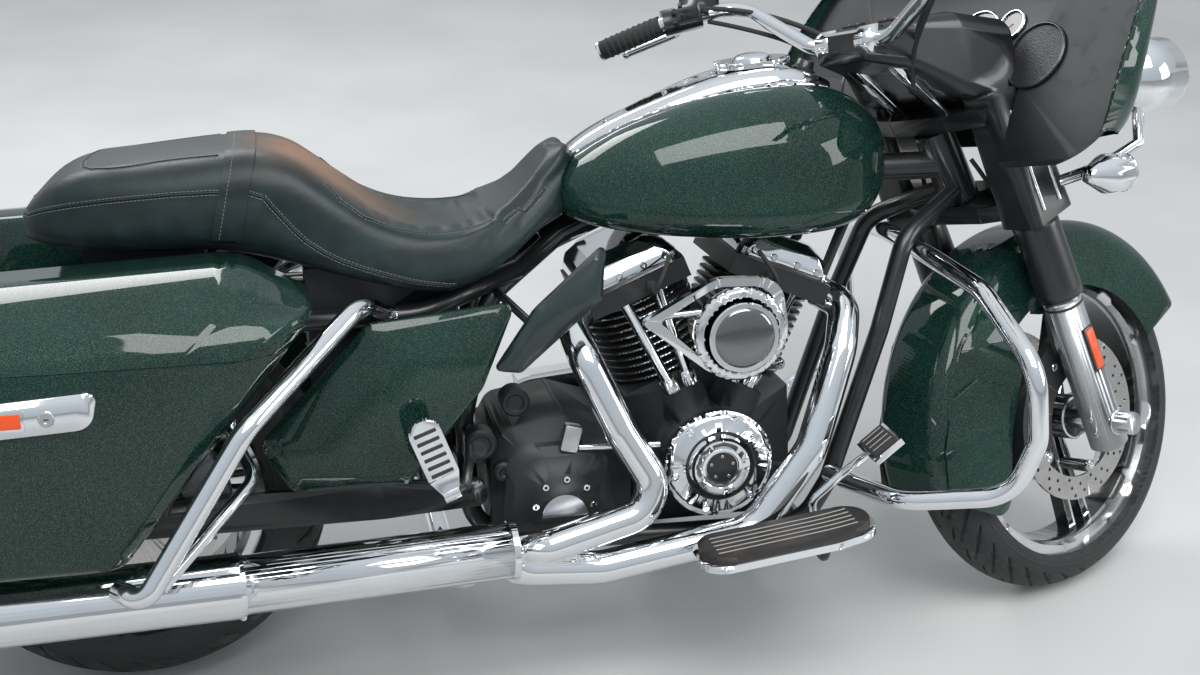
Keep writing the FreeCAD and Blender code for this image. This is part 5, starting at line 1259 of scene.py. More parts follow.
class Engine(SubAssembly):
    """Bolts, gaskets, caps and plugs on the engine and gearbox, and the air cleaner's window."""

    def build(self) -> None:
        """Dress the engine."""
        for lean, name in ((-1, "rear"), (1, "front")):
            self._head(lean, name)
        self._cam_cover()
        self._left_covers()
        self._gearbox()
        self._air_cleaner()

    def _head(self, lean: int, name: str) -> None:
        """A head's gasket, its cover's screws, and its plug with the lead."""
        angle = CYLINDER_LEAN * lean
        along = Vector((math.sin(angle), 0, math.cos(angle)))
        across = Vector((math.cos(angle), 0, -math.sin(angle)))
        crank = Vector(CRANK)
        outline = rounded([(-89, -114, 14), (89, -114, 14), (89, 114, 14), (-89, 114, 14)])
        top = MACHINE.seat(crank + along * 331, along, hint=across)
        gasket = plate(f"{name}_head_gasket", [outline], 1.6, top, 0.3)
        self.keep(gasket, Body.CHASSIS, Finish.BLACK, "black_metal")
        covers = self.surface("rocker_covers")
        places = []
        for side in (-1, 1):
            for reach in (-66, -24, 24, 66):
                start = MACHINE.point(crank + along * 343 + across * reach * 0.9 + Vector((0, side * 160, 0)))
                places.append(seated(covers, start, -side * LEFTWARD, MACHINE.way(across), 0.4))
        screws = copies(f"{name}_rocker_screws", screw_head(6, 5), places)
        self.keep(screws, Body.CHASSIS, Finish.CHROME, "chrome")
        foot = crank + along * 312 + across * (-lean * 20) + Vector((0, -112, 0))
        rows = [(-2, 9), (14, 9), (16, 7.5), (34, 7), (38, 5), (40, 0)]
        plug = lathe(f"{name}_plug_boot", rows, MACHINE.seat(foot, (0, -1, 0)), 24)
        self.keep(plug, Body.CHASSIS, Finish.RUBBER, "black_rubber")
        steps = ((0, -34, 0), (0, -44, 6), (lean * -12, -40, 30), (lean * -26, -20, 52))
        lead = hose(f"{name}_plug_lead", [MACHINE.point(foot + Vector(step)) for step in steps], 3.6)
        self.keep(lead, Body.CHASSIS, Finish.RUBBER, "black_rubber", 50)

    def _cam_cover(self) -> None:
        """The cam cover's screws and its round blank badge."""
        x, _, z = CRANK
        cover = self.surface("cam_cover_and_pushrod_tubes")
        places = []
        for number in range(6):
            turn = math.radians(12 + 60 * number)
            start = MACHINE.point((x + 79 * math.cos(turn), -320, z + 79 * math.sin(turn)))
            places.append(seated(cover, start, LEFTWARD))
        screws = copies("cam_cover_screws", screw_head(6, 5), places)
        self.keep(screws, Body.CHASSIS, Finish.CHROME, "chrome")
        place, _ = landing(cover, MACHINE.point((x, -320, z)), LEFTWARD)
        seat = facing(place, -LEFTWARD, AHEAD)
        rows = [(-1, 0), (-1, 36), (1, 36), (3.4, 33.5), (3.4, 29), (1.2, 27.5), (1.2, 0)]
        ring = lathe("badge_ring", rows, seat, 64)
        self.keep(ring, Body.CHASSIS, Finish.CHROME, "chrome", 40)
        face = lathe("badge_face", [(0.6, 0), (0.6, 27), (2.4, 26.2), (2.8, 0)], seat, 64)
        self.keep(face, Body.CHASSIS, Finish.BLACK, "black_metal")
        places = []
        for number in range(5):
            turn = math.radians(90 + 72 * number)
            place = seat @ Matrix.Translation(Vector((19 * math.cos(turn), 19 * math.sin(turn), 2.4)) * MM)
            places.append(place)
        rivets = copies("badge_screws", screw_head(2.6, 1.6), places)
        self.keep(rivets, Body.CHASSIS, Finish.MACHINED, "chrome")
        edge = MACHINE.seat((x, -184, z), (0, -1, 0))
        groove = lathe("cam_cover_ring", ring_rows(60, 56, 2.2), edge, 64)
        self.keep(groove, Body.CHASSIS, Finish.BLACK, "black_metal")

    def _left_covers(self) -> None:
        """Screws round the clutch and chain caps on the left."""
        cover = self.surface("primary_cover")
        places = []
        for centre, reach, count in (((700, 322), 55, 6), ((931, 345), 30, 4)):
            for number in range(count):
                turn = 2 * math.pi * number / count
                start = (centre[0] + reach * math.cos(turn), 320, centre[1] + reach * math.sin(turn))
                places.append(seated(cover, MACHINE.point(start), -LEFTWARD))
        screws = copies("primary_cap_screws", screw_head(5, 4), places)
        self.keep(screws, Body.CHASSIS, Finish.CHROME, "chrome")
        case = []
        rim = ((620, 262), (640, 378), (780, 396), (880, 404))
        rim += ((990, 384), (1000, 300), (900, 262), (760, 250))
        for u, v in rim:
            start = MACHINE.point((u, 320, v))
            hit, place, normal, _ = cover.ray_cast(start, -LEFTWARD)
            if hit:
                case.append(facing(place - normal * 0.3 * MM, normal, AHEAD))
        screws = copies("primary_case_screws", screw_head(5.5, 5), case)
        self.keep(screws, Body.CHASSIS, Finish.CHROME, "chrome")

    def _gearbox(self) -> None:
        """The release cover's screws and its pale half plate, the filler and the side rod."""
        box = self.surface("gearbox")
        places = []
        for angle in (0, 40, 85, 130, 175):
            turn = math.radians(angle)
            start = MACHINE.point((690 + 48 * math.cos(turn), -320, 292 + 48 * math.sin(turn)))
            places.append(seated(box, start, LEFTWARD))
        screws = copies("release_cover_screws", screw_head(5.5, 5), places)
        self.keep(screws, Body.CHASSIS, Finish.CHROME, "chrome")
        steps = [math.radians(180 * number / 20) for number in range(21)]
        half_moon = [(-38 * math.cos(turn), 38 * math.sin(turn) - 14) for turn in steps]
        matrix = MACHINE.seat((690, -177.6, 292), (0, -1, 0), hint=(1, 0, 0))
        moon = plate("release_cover_plate", [half_moon], 2.4, matrix, 0.8)
        self.keep(moon, Body.CHASSIS, Finish.ALUMINIUM, "grey_metal")
        rows = [(0, 0), (0, 15), (64, 15), (66, 21), (76, 22), (82, 20), (85, 12), (86, 0)]
        filler = lathe("oil_filler_cap", rows, MACHINE.seat((552, -66, 392), (0, -1, 0)), 40)
        self.keep(filler, Body.CHASSIS, Finish.BLACK, "black_metal")
        rod_start, rod_end = Vector((716, -168, 392)), Vector((852, -168, 386))
        way = rod_end - rod_start
        rod = lathe("side_rod", rod_rows(way.length, 5.5, 1), MACHINE.seat(rod_start, way), 20)
        self.keep(rod, Body.CHASSIS, Finish.CHROME, "chrome")
        matrix = MACHINE.seat((704, -162, 408), (0.25, 0, 1), hint=(1, 0, 0))
        clamp = block("side_rod_clamp", (30, 22, 46), matrix, 5)
        self.keep(clamp, Body.CHASSIS, Finish.ALUMINIUM, "grey_metal")
        arm = lathe("side_rod_arm", rod_rows(60, 7, 1.5), MACHINE.seat((704, -172, 400), (0, 1, 0)), 20)
        self.keep(arm, Body.CHASSIS, Finish.BLACK, "black_metal")
        for number, (u, v, reach) in enumerate(((617, 470, 24), (560, 402, 26), (596, 352, 17))):
            rows = [(0, 0), (0, reach), (30, reach), (34, reach - 4), (34, reach - 9)]
            rows += [(31, reach - 12), (31, 0)]
            knob = lathe(f"electric_box_{number}", rows, MACHINE.seat((u, -118, v), (0, -1, 0)), 40)
            self.keep(knob, Body.CHASSIS, Finish.PLASTIC, "black_plastic")

    def _air_cleaner(self) -> None:
        """The round smoky window with its rim and screws."""
        seat = MACHINE.seat((964, -262, 586), (0, -1, 0))
        window = lathe("air_cleaner_window", cap_rows(48.5, 9, -0.6, 10), seat, 64)
        self.keep(window, Body.CHASSIS, Finish.WINDOW, "chrome", 60)
        seat = MACHINE.seat((964, -258, 586), (0, -1, 0))
        rim = lathe("air_cleaner_rim", ring_rows(57, 47, 5, 1.6), seat, 64)
        self.keep(rim, Body.CHASSIS, Finish.CHROME, "chrome", 40)
        places = []
        for number in range(3):
            turn = math.radians(90 + 120 * number)
            at = (964 + 66 * math.cos(turn), -250, 586 + 66 * math.sin(turn))
            places.append(MACHINE.seat(at, (0, -1, 0)))
        screws = copies("air_cleaner_screws", screw_head(4.5, 4), places)
        self.keep(screws, Body.CHASSIS, Finish.CHROME, "chrome")


class Exhaust(SubAssembly):
    """Clamps on the shields and dark bores in the mufflers."""

    def build(self) -> None:
        """Dress the exhaust."""
        inward = MACHINE.matrix().inverted()

        def bore(middle: Vector, _: Vector) -> bool:
            """Whether a face is inside an outlet."""
            place = inward @ middle / MM
            side = 1 if place.y > 0 else -1
            offset = Vector((0, place.y - side * 310, place.z - 260.5))
            return offset.length < 44.5 and place.x < -300

        second_finish(self.surface("mufflers"), Finish.SOOT, bore)
        start, end = Vector((590, -254, 263)), Vector((168, -291, 264))
        way = (end - start).normalized()
        for number, share in enumerate((0.0, 0.985)):
            self._clamp(f"shield_clamp_{number}", start.lerp(end, share), way)
        for side, name in ((-1, "right"), (1, "left")):
            tip = MACHINE.seat((-458, side * 311.6, 260), (-1, side * 0.034, -0.007))
            ring = lathe(f"{name}_muffler_tip", ring_rows(51, 44, 9, 2.5), tip, 64)
            self.keep(ring, Body.CHASSIS, Finish.CHROME, "chrome", 40)

    def _clamp(self, name: str, at: Vector, way: Vector, reach: float = 45) -> None:
        """A band round a shield, with its screw."""
        band = lathe(name, ring_rows(reach + 1.8, reach - 1, 11), MACHINE.seat(at - way * 5, way), 64)
        self.keep(band, Body.CHASSIS, Finish.CHROME, "chrome")
        down = way.cross(Vector((0, 1, 0))).normalized()
        if down.z > 0:
            down = -down
        matrix = MACHINE.seat(at + down * (reach + 3) - Vector((0, 8, 0)), (0, -1, 0))
        screw = lathe(f"{name}_screw", [(-8, 0), (-8, 3), (0, 3), (0, 5), (4, 5), (5, 4), (5, 0)], matrix, 20)
        self.keep(screw, Body.CHASSIS, Finish.MACHINED, "chrome")


class Fork(SubAssembly):
    """Strips, reflectors, brake hoses and axle nuts on the fork."""

    def build(self) -> None:
        """Dress the fork."""
        for side, name in ((-1, "right"), (1, "left")):
            self._strips(side, name)
            self._reflector(side, name)
            self._axle_end(side, name)
            self._brake(side, name)

    @staticmethod
    def leg(side: int, distance: float) -> Vector:
        """A point on a fork leg's axis by its distance from the axle."""
        x, _, z = FRONT_AXLE
        return Vector((x - distance * math.sin(FORK_LEAN), side * 130, z + distance * math.cos(FORK_LEAN)))

    def _strips(self, side: int, name: str) -> None:
        """Two bright strips down a leg's cowl."""
        cowl = self.surface("fork_cowls")
        for number, shift in enumerate((-20, 20)):
            points = []
            for step in range(12):
                start = self.leg(side, 428 + 182 * step / 11) + Vector((shift, side * 150, shift * 0.38))
                way = MACHINE.way((0, -side, 0), True)
                hit, place, normal, _ = cowl.ray_cast(MACHINE.point(start, True), way)
                if hit:
                    points.append(place + normal * 0.6 * MM)
            if len(points) > 4:
                strip = hose(f"{name}_cowl_strip_{number}", points, 3.2)
                self.keep(strip, Body.STEERING, Finish.CHROME, "chrome", 50)

    def _reflector(self, side: int, name: str) -> None:
        """The amber reflector on a slider, in its black holder."""
        up = Vector((-math.sin(FORK_LEAN), 0, math.cos(FORK_LEAN)))
        at = self.leg(side, 150) + Vector((0, side * 34, 0))
        holder = block(f"{name}_reflector_holder", (84, 26, 6), MACHINE.seat(at, (0, side, 0), True, up), 2.5)
        self.keep(holder, Body.STEERING, Finish.BLACK, "black_plastic")
        at = at + Vector((0, side * 3, 0))
        lens = block(f"{name}_fork_reflector", (76, 19, 4), MACHINE.seat(at, (0, side, 0), True, up), 1.8)
        self.keep(lens, Body.STEERING, Finish.REFLECTOR, "grey_metal")

    def _axle_end(self, side: int, name: str) -> None:
        """The nut on the axle's end, and the pinch screws in the slider's foot."""
        x, _, z = FRONT_AXLE
        matrix = MACHINE.seat((x, side * 190, z), (0, side, 0), True)
        nut = put(screw_head(15, 9, 6, (0.10, 2), 0.30, 0.25), matrix)
        nut.name = f"{name}_axle_nut"
        self.keep(nut, Body.STEERING, Finish.CHROME, "chrome")
        matrix = MACHINE.seat((x, side * 164, z), (0, side, 0), True)
        ring = lathe(f"{name}_axle_washer", ring_rows(23, 12, 4), matrix, 40)
        self.keep(ring, Body.STEERING, Finish.CHROME, "chrome")
        places = []
        for drop in (-16, 16):
            at = self.leg(side, drop) + Vector((-32, side * 6, -10))
            places.append(MACHINE.seat(at, (-1, 0, -0.35), True))
        screws = copies(f"{name}_pinch_screws", screw_head(5.5, 6), places)
        self.keep(screws, Body.STEERING, Finish.MACHINED, "grey_metal")
        for number, distance in enumerate((236, 246)):
            up = (-math.sin(FORK_LEAN), 0, math.cos(FORK_LEAN))
            matrix = MACHINE.seat(self.leg(side, distance), up, True)
            band = lathe(f"{name}_slider_band_{number}", ring_rows(35, 32, 4), matrix, 48)
            self.keep(band, Body.STEERING, Finish.CHROME if number else Finish.BLACK, "grey_metal")

    def _brake(self, side: int, name: str) -> None:
        """Screws and a pale plate on a front caliper, and its hose."""
        x, _, z = FRONT_AXLE
        places = []
        for angle in (128, 190):
            turn = math.radians(angle)
            at = (x + 129 * math.cos(turn), side * 95.5, z + 129 * math.sin(turn))
            places.append(MACHINE.seat(at, (0, side, 0), True))
        screws = copies(f"{name}_caliper_screws", screw_head(7, 6), places)
        self.keep(screws, Body.STEERING, Finish.CHROME, "chrome")
        turn = math.radians(159)
        at = (x + 128 * math.cos(turn), side * 96.2, z + 128 * math.sin(turn))
        hint = Vector((-math.sin(turn), 0, math.cos(turn)))
        face = block(f"{name}_caliper_face", (74, 34, 3), MACHINE.seat(at, (0, side, 0), True, hint), 1.2)
        self.keep(face, Body.STEERING, Finish.ALUMINIUM, "grey_metal")
        route = ((1560, 92, 426), (1540, 98, 470), (1512, 104, 560))
        route += ((1476, 96, 650), (1440, 80, 740), (1404, 60, 800))
        points = [MACHINE.point((x, side * y, z), True) for x, y, z in route]
        self.keep(hose(f"{name}_brake_hose", points, 4), Body.STEERING, Finish.RUBBER, "black_rubber", 50)


class Lamps(SubAssembly):
    """Lenses, rims and bowls of the lamps."""

    def build(self) -> None:
        """Dress the lamps."""
        self._lamp("headlamp", (1738, 0, 956), 88, 12, Finish.FLUTED)
        for side, name in ((-1, "right"), (1, "left")):
            self._lamp(f"{name}_passing_lamp", (1650, side * 252, 916), 58, 10, Finish.FLUTED)
            self._lamp(f"{name}_front_signal", (1562, side * 240, 760), 30, 7, Finish.AMBER)
            self._tail_signal(side, name)

    def _lamp(self, name: str, at: Triple, radius: float, height: float, lens: Finish) -> None:
        """A round lamp's bowl, lens and rim at the front of its shell."""
        seat = MACHINE.seat(at, (1, 0, 0), True)
        rows = [(-0.5, 0), (-0.5, radius - 1), (3.4, radius - 1)]
        rows += [(1.6, radius * 0.7), (0.4, radius * 0.3), (0.4, 0)]
        bowl = lathe(f"{name}_bowl", rows, seat, 64)
        self.keep(bowl, Body.STEERING, Finish.MIRROR, "chrome", 50)
        cover = lathe(f"{name}_lens", cap_rows(radius - 1, height, 3.5, 8), seat, 64)
        self.keep(cover, Body.STEERING, lens, "chrome", 60)
        ring = lathe(f"{name}_rim", ring_rows(radius + 3.5, radius - 2.5, 7, 2), seat, 64)
        self.keep(ring, Body.STEERING, Finish.CHROME, "chrome", 40)

    def _tail_signal(self, side: int, name: str) -> None:
        """A rear signal's lens and rim."""
        seat = MACHINE.seat((-372, side * 122, 520), (-1, 0, 0))
        lens = lathe(f"{name}_tail_signal_lens", cap_rows(30, 6, 0, 8), seat, 48)
        self.keep(lens, Body.CHASSIS, Finish.RED, "chrome", 60)
        sunk = seat @ Matrix.Translation((0, 0, -3 * MM))
        ring = lathe(f"{name}_tail_signal_rim", ring_rows(34.5, 30, 5, 1.4), sunk, 48)
        self.keep(ring, Body.CHASSIS, Finish.CHROME, "chrome", 40)


class Cockpit(SubAssembly):
    """Dials, screen, speakers, switches, mirrors, cables and the console's cap and knob."""

    def build(self) -> None:
        """Dress what the rider sees and holds."""
        self._dials()
        self._switches()
        self._mirrors()
        self._grips()
        self._hoses()
        self._console()

    def _land(
        self,
        item: bpy.types.Object,
        start: Triple,
        way: Triple,
        steered: bool = True,
    ) -> Optional[Matrix]:
        """A place on a piece along a ray, or nothing when the ray misses."""
        hit, place, normal, _ = item.ray_cast(MACHINE.point(start, steered), MACHINE.way(way, steered))
        return facing(place, normal, MACHINE.way((0, -1, 0), steered)) if hit else None

    def _dials(self) -> None:
        """Dials, the map screen and the speakers on the inner panel."""
        panel = self.surface("inner_fairing")
        rows = (
            ("speed_dial", -56, 1010, 46),
            ("engine_dial", 56, 1010, 46),
            ("fuel_dial", -128, 1024, 24),
            ("volt_dial", 128, 1024, 24),
            ("right_speaker", -196, 960, 56),
            ("left_speaker", 196, 960, 56),
        )
        for name, across, height, radius in rows:
            seat = self._land(panel, (1180, across, height + 60), (1, 0, -0.25))
            if seat is None:
                continue
            speaker = "speaker" in name
            ring = lathe(f"{name}_rim", ring_rows(radius + 3, radius - 2, 6, 2), seat, 56)
            self.keep(ring, Body.STEERING, Finish.BLACK if speaker else Finish.CHROME, "black_plastic", 40)
            face = lathe(f"{name}_face", [(0.5, 0), (0.5, radius - 1), (2.2, radius - 1), (2.2, 0)], seat, 56)
            self.keep(face, Body.STEERING, Finish.MESH if speaker else Finish.DIAL, "black_plastic")
            if not speaker:
                self._marks(name, seat, radius)
        seat = self._land(panel, (1180, 0, 980), (1, 0, -0.25))
        if seat is not None:
            frame_block = block("screen_frame", (178, 106, 8), seat @ Matrix.Translation((0, 0, 3 * MM)), 3)
            self.keep(frame_block, Body.STEERING, Finish.BLACK, "black_plastic")
            glass = block("screen_face", (150, 84, 2), seat @ Matrix.Translation((0, 0, 7.4 * MM)), 0.8)
            self.keep(glass, Body.STEERING, Finish.SCREEN, "black_plastic")

    def _marks(self, name: str, seat: Matrix, radius: float) -> None:
        """A dial's scale and its needle."""
        places = []
        for number in range(21):
            turn = math.radians(-130 + 13 * number + 90)
            place = Matrix.Rotation(turn, 4, "Z") @ Matrix.Translation((0.84 * radius * MM, 0, 2.3 * MM))
            places.append(seat @ place)
        mark = block("mark", (0.12 * radius, 0.9, 0.5), Matrix.Identity(4), 0.2)
        scale = copies(f"{name}_scale", mark, places)
        self.keep(scale, Body.STEERING, Finish.MARK, "black_plastic")
        turned = seat @ Matrix.Rotation(math.radians(215), 4, "Z")
        matrix = turned @ Matrix.Translation((0.34 * radius * MM, 0, 3 * MM))
        needle = block(f"{name}_needle", (0.86 * radius, 1.2, 0.7), matrix, 0.3)
        self.keep(needle, Body.STEERING, Finish.RED, "black_plastic")

    def _switches(self) -> None:
        """Rocker switches on the nacelle and the knobs beside the panel."""
        cowl = self.surface("fork_cowls")
        places = []
        for across in (-54, -32, 32, 54):
            seat = self._land(cowl, (1250, across, 1200), (0, 0, -1))
            if seat is not None:
                places.append(seat)
        if places:
            switch = block("switch", (14, 24, 9), Matrix.Identity(4), 2.5)
            switches = copies("nacelle_switches", switch, places)
            self.keep(switches, Body.STEERING, Finish.PLASTIC, "black_plastic")
            mark = block("mark", (5, 1.2, 0.6), Matrix.Translation((0, 0, 4.5 * MM)), 0.2)
            marks = copies("switch_marks", mark, places)
            self.keep(marks, Body.STEERING, Finish.MARK, "black_plastic")

    def _mirrors(self) -> None:
        """The glass in both mirrors."""
        heads = self.surface("bar_controls")
        for side, name in ((-1, "right"), (1, "left")):
            start = MACHINE.point((900, side * 384, 1172), True)
            hit, place, normal, _ = heads.ray_cast(start, MACHINE.way((1, 0, 0), True))
            if not hit:
                continue
            seat = facing(place, normal, MACHINE.way((0, 1, 0), True))
            corners = ((-58, -34, 30), (66, -29, 22), (80, 22, 30), (-47, 38, 36))
            outline = rounded([(side * u, v, r) for u, v, r in corners], 8)
            glass = plate(f"{name}_mirror_glass", [outline], 1.6, seat, 0.5)
            self.keep(glass, Body.STEERING, Finish.MIRROR, "chrome")

    def _grips(self) -> None:
        """Ribs and end caps of the grips, the switches' buttons and the levers' pivots."""
        for side, name in ((-1, "right"), (1, "left")):
            start, end = grip_line(side)
            way = (end - start).normalized()
            places = [MACHINE.seat(start + way * (26 + 11 * number), way, True) for number in range(9)]
            rib = lathe("rib", ring_rows(18.4, 16, 4, 1), Matrix.Identity(4), 32)
            ribs = copies(f"{name}_grip_ribs", rib, places)
            self.keep(ribs, Body.STEERING, Finish.RUBBER, "black_rubber", 40)
            rows = [(0, 0), (0, 17.5), (4, 18), (7, 16), (9, 10), (9.5, 0)]
            cap = lathe(f"{name}_grip_cap", rows, MACHINE.seat(end + way * 3, way, True), 40)
            self.keep(cap, Body.STEERING, Finish.CHROME, "chrome", 40)
            places = []
            for along, turn in ((-34, 150), (-20, 170), (-34, 200), (-18, 215)):
                out = Vector((math.cos(math.radians(turn)), 0, math.sin(math.radians(turn))))
                out = (out - way * out.dot(way)).normalized()
                places.append(MACHINE.seat(start + way * along + out * 23.4, out, True, way))
            buttons = copies(f"{name}_buttons", block("button", (8, 11, 5), Matrix.Identity(4), 1.6), places)
            self.keep(buttons, Body.STEERING, Finish.PLASTIC, "black_plastic")
            pivot = put(screw_head(6, 6), MACHINE.seat((1112, side * 302, 1092), (0, 0, 1), True))
            pivot.name = f"{name}_lever_pivot"
            self.keep(pivot, Body.STEERING, Finish.MACHINED, "chrome")
            matrix = MACHINE.seat((1121, side * 293, 1122), (0, 0, 1), True)
            lid = block(f"{name}_reservoir_lid", (46, 46, 5), matrix, 2)
            self.keep(lid, Body.STEERING, Finish.CHROME, "chrome")

    def _hoses(self) -> None:
        """Control cables from the handlebar, and the harness beside the frame's neck."""
        cable = ((1128, 280, 1078), (1160, 232, 1062), (1214, 150, 1024), (1250, 84, 975), (1276, 60, 930))
        line = ((1120, 276, 1100), (1168, 226, 1092), (1232, 140, 1050), (1268, 74, 1000), (1290, 50, 940))
        harness = ((1252, 62, 842), (1226, 74, 800), (1205, 82, 752), (1180, 84, 700), (1160, 80, 640))
        small = ((1244, 76, 850), (1218, 92, 800), (1196, 98, 740), (1168, 96, 672), (1148, 88, 610))
        routes = (
            ("throttle_cable", True, -1, 4, cable),
            ("front_brake_hose", True, -1, 4.5, line),
            ("switch_harness", True, 1, 4, cable),
            ("clutch_hose", True, 1, 4.5, line),
            ("right_harness", False, -1, 8, harness),
            ("right_small_hose", False, -1, 5, small),
            ("left_harness", False, 1, 8, harness),
        )
        for name, steered, side, radius, route in routes:
            points = [MACHINE.point((x, side * y, z), steered) for x, y, z in route]
            body = Body.STEERING if steered else Body.CHASSIS
            self.keep(hose(name, points, radius), body, Finish.RUBBER, "black_rubber", 50)

    def _console(self) -> None:
        """The dome on the fuel door, the ignition knob and the console's screws."""
        door = self.surface("fuel_door")
        seat = self._land(door, (1050, 0, 1200), (0, 0, -1), False)
        if seat is not None:
            rows = [(-0.5, 0), (-0.5, 34), (2.5, 33)] + dome_rows(31, 9, 2.5, 8)
            dome = lathe("fuel_door_dome", rows, seat, 56)
            self.keep(dome, Body.FUEL_DOOR, Finish.CHROME, "chrome", 45)
        console = self.surface("tank_console")
        seat = self._land(console, (1140, 0, 1200), (0, 0, -1), False)
        if seat is not None:
            rows = [(-2, 0), (-2, 20), (3, 20), (5, 16), (16, 14), (18, 12), (18, 0)]
            knob = lathe("ignition_knob", rows, seat, 40)
            self.keep(knob, Body.CHASSIS, Finish.BLACK, "chrome")
        places = []
        for along in (800, 900, 985):
            seat = self._land(console, (along, 0, 1200), (0, 0, -1), False)
            if seat is not None:
                places.append(seat)
        if places:
            screws = copies("console_screws", screw_head(5, 3), places)
            self.keep(screws, Body.CHASSIS, Finish.MACHINED, "chrome")


class Luggage(SubAssembly):
    """Locks and reflectors on the bags' latches."""

    def build(self) -> None:
        """Dress the bags."""
        for side, name in ((-1, "right"), (1, "left")):
            out = (0, side, 0)
            rows = [(0, 0), (0, 11), (3, 11), (5, 9.5), (5, 5), (3.4, 4.6), (3.4, 0)]
            lock = lathe(f"{name}_bag_lock", rows, MACHINE.seat((-54, side * 421.4, 592), out), 40)
            self.keep(lock, Body.CHASSIS, Finish.MACHINED, "chrome")
            slot = block(f"{name}_key_slot", (7, 1.8, 0.8), MACHINE.seat((-54, side * 425, 592), out), 0.3)
            self.keep(slot, Body.CHASSIS, Finish.BLACK, "chrome")
            matrix = MACHINE.seat((-134, side * 422, 592), out)
            holder = block(f"{name}_bag_reflector_rim", (104, 30, 5), matrix, 4)
            self.keep(holder, Body.CHASSIS, Finish.CHROME, "chrome")
            matrix = MACHINE.seat((-134, side * 423.2, 592), out)
            lens = block(f"{name}_bag_reflector", (96, 22, 5), matrix, 3)
            self.keep(lens, Body.CHASSIS, Finish.REFLECTOR, "chrome")


class Footrests(SubAssembly):
    """Stripes on the floorboards, ribs on the brake pedal, and rings and ribs on the pegs."""

    def build(self) -> None:
        """Dress what feet touch."""
        for side, name, body in ((-1, "right", Body.BOARD_RIGHT), (1, "left", Body.BOARD_LEFT)):
            pad = self.surface(f"board_pad_{name}")
            for number, across in enumerate((278, 292, 306, 320, 334)):
                points = []
                for step in range(13):
                    along = 905 + 232 * step / 12
                    bend = max(0.0, (along - 1060) / 100) ** 2 * 10
                    start = MACHINE.point((along, side * (across - bend), 420))
                    hit, place, normal, _ = pad.ray_cast(start, -UPWARD)
                    if hit:
                        points.append(place + normal * 0.1 * MM)
                if len(points) > 5:
                    stripe = hose(f"{name}_pad_stripe_{number}", points, 1.3, 2)
                    self.keep(stripe, body, Finish.STRIPE, "black_rubber", 60)
        tilt = math.radians(-38)
        up = Vector((math.sin(tilt), 0, math.cos(tilt)))
        centre = Vector((1198, -262, 390))
        matrix = MACHINE.seat(centre + up * 8, up, hint=(0.8, 0, 0.6))
        rubber = block("brake_pedal_rubber", (46, 66, 7), matrix, 3)
        self.keep(rubber, Body.CHASSIS, Finish.RUBBER, "black_rubber")
        places = []
        forward = Vector((math.cos(tilt), 0, -math.sin(tilt)))
        for number in range(4):
            at = centre + up * 11.6 + Vector((0, -22.5 + 15 * number, 0))
            places.append(MACHINE.seat(at, up, hint=forward))
        ribs = copies("brake_pedal_ribs", block("rib", (38, 3, 1.6), Matrix.Identity(4), 0.6), places)
        self.keep(ribs, Body.CHASSIS, Finish.STRIPE, "black_rubber")
        for name, x, z, low, high in (("toe", 1194, 374, 236, 294), ("heel", 896, 332, 232, 288)):
            places = [MACHINE.seat((x, across, z), (0, 1, 0)) for across in range(low, high + 1, 9)]
            ring = lathe("ring", ring_rows(11.6, 9, 5, 1), Matrix.Identity(4), 28)
            rings = copies(f"{name}_peg_rings", ring, places)
            self.keep(rings, Body.CHASSIS, Finish.RUBBER, "black_rubber")
        for side, name, body in ((-1, "right", Body.PEG_RIGHT), (1, "left", Body.PEG_LEFT)):
            peg = self.surface(f"peg_{name}")
            places = []
            for along in range(40, 124, 14):
                middle = Vector((498, side * 262, 370)) + Vector((-0.35, 0, 0.937)) * along
                start = MACHINE.point(middle + Vector((0, side * 80, 0)))
                hit, place, normal, _ = peg.ray_cast(start, -side * LEFTWARD)
                if hit:
                    places.append(facing(place, normal, MACHINE.way((0.937, 0, 0.35))))
            if places:
                ribs = copies(f"{name}_peg_ribs", block("rib", (36, 6, 3), Matrix.Identity(4), 1.2), places)
                self.keep(ribs, body, Finish.RUBBER, "black_rubber")


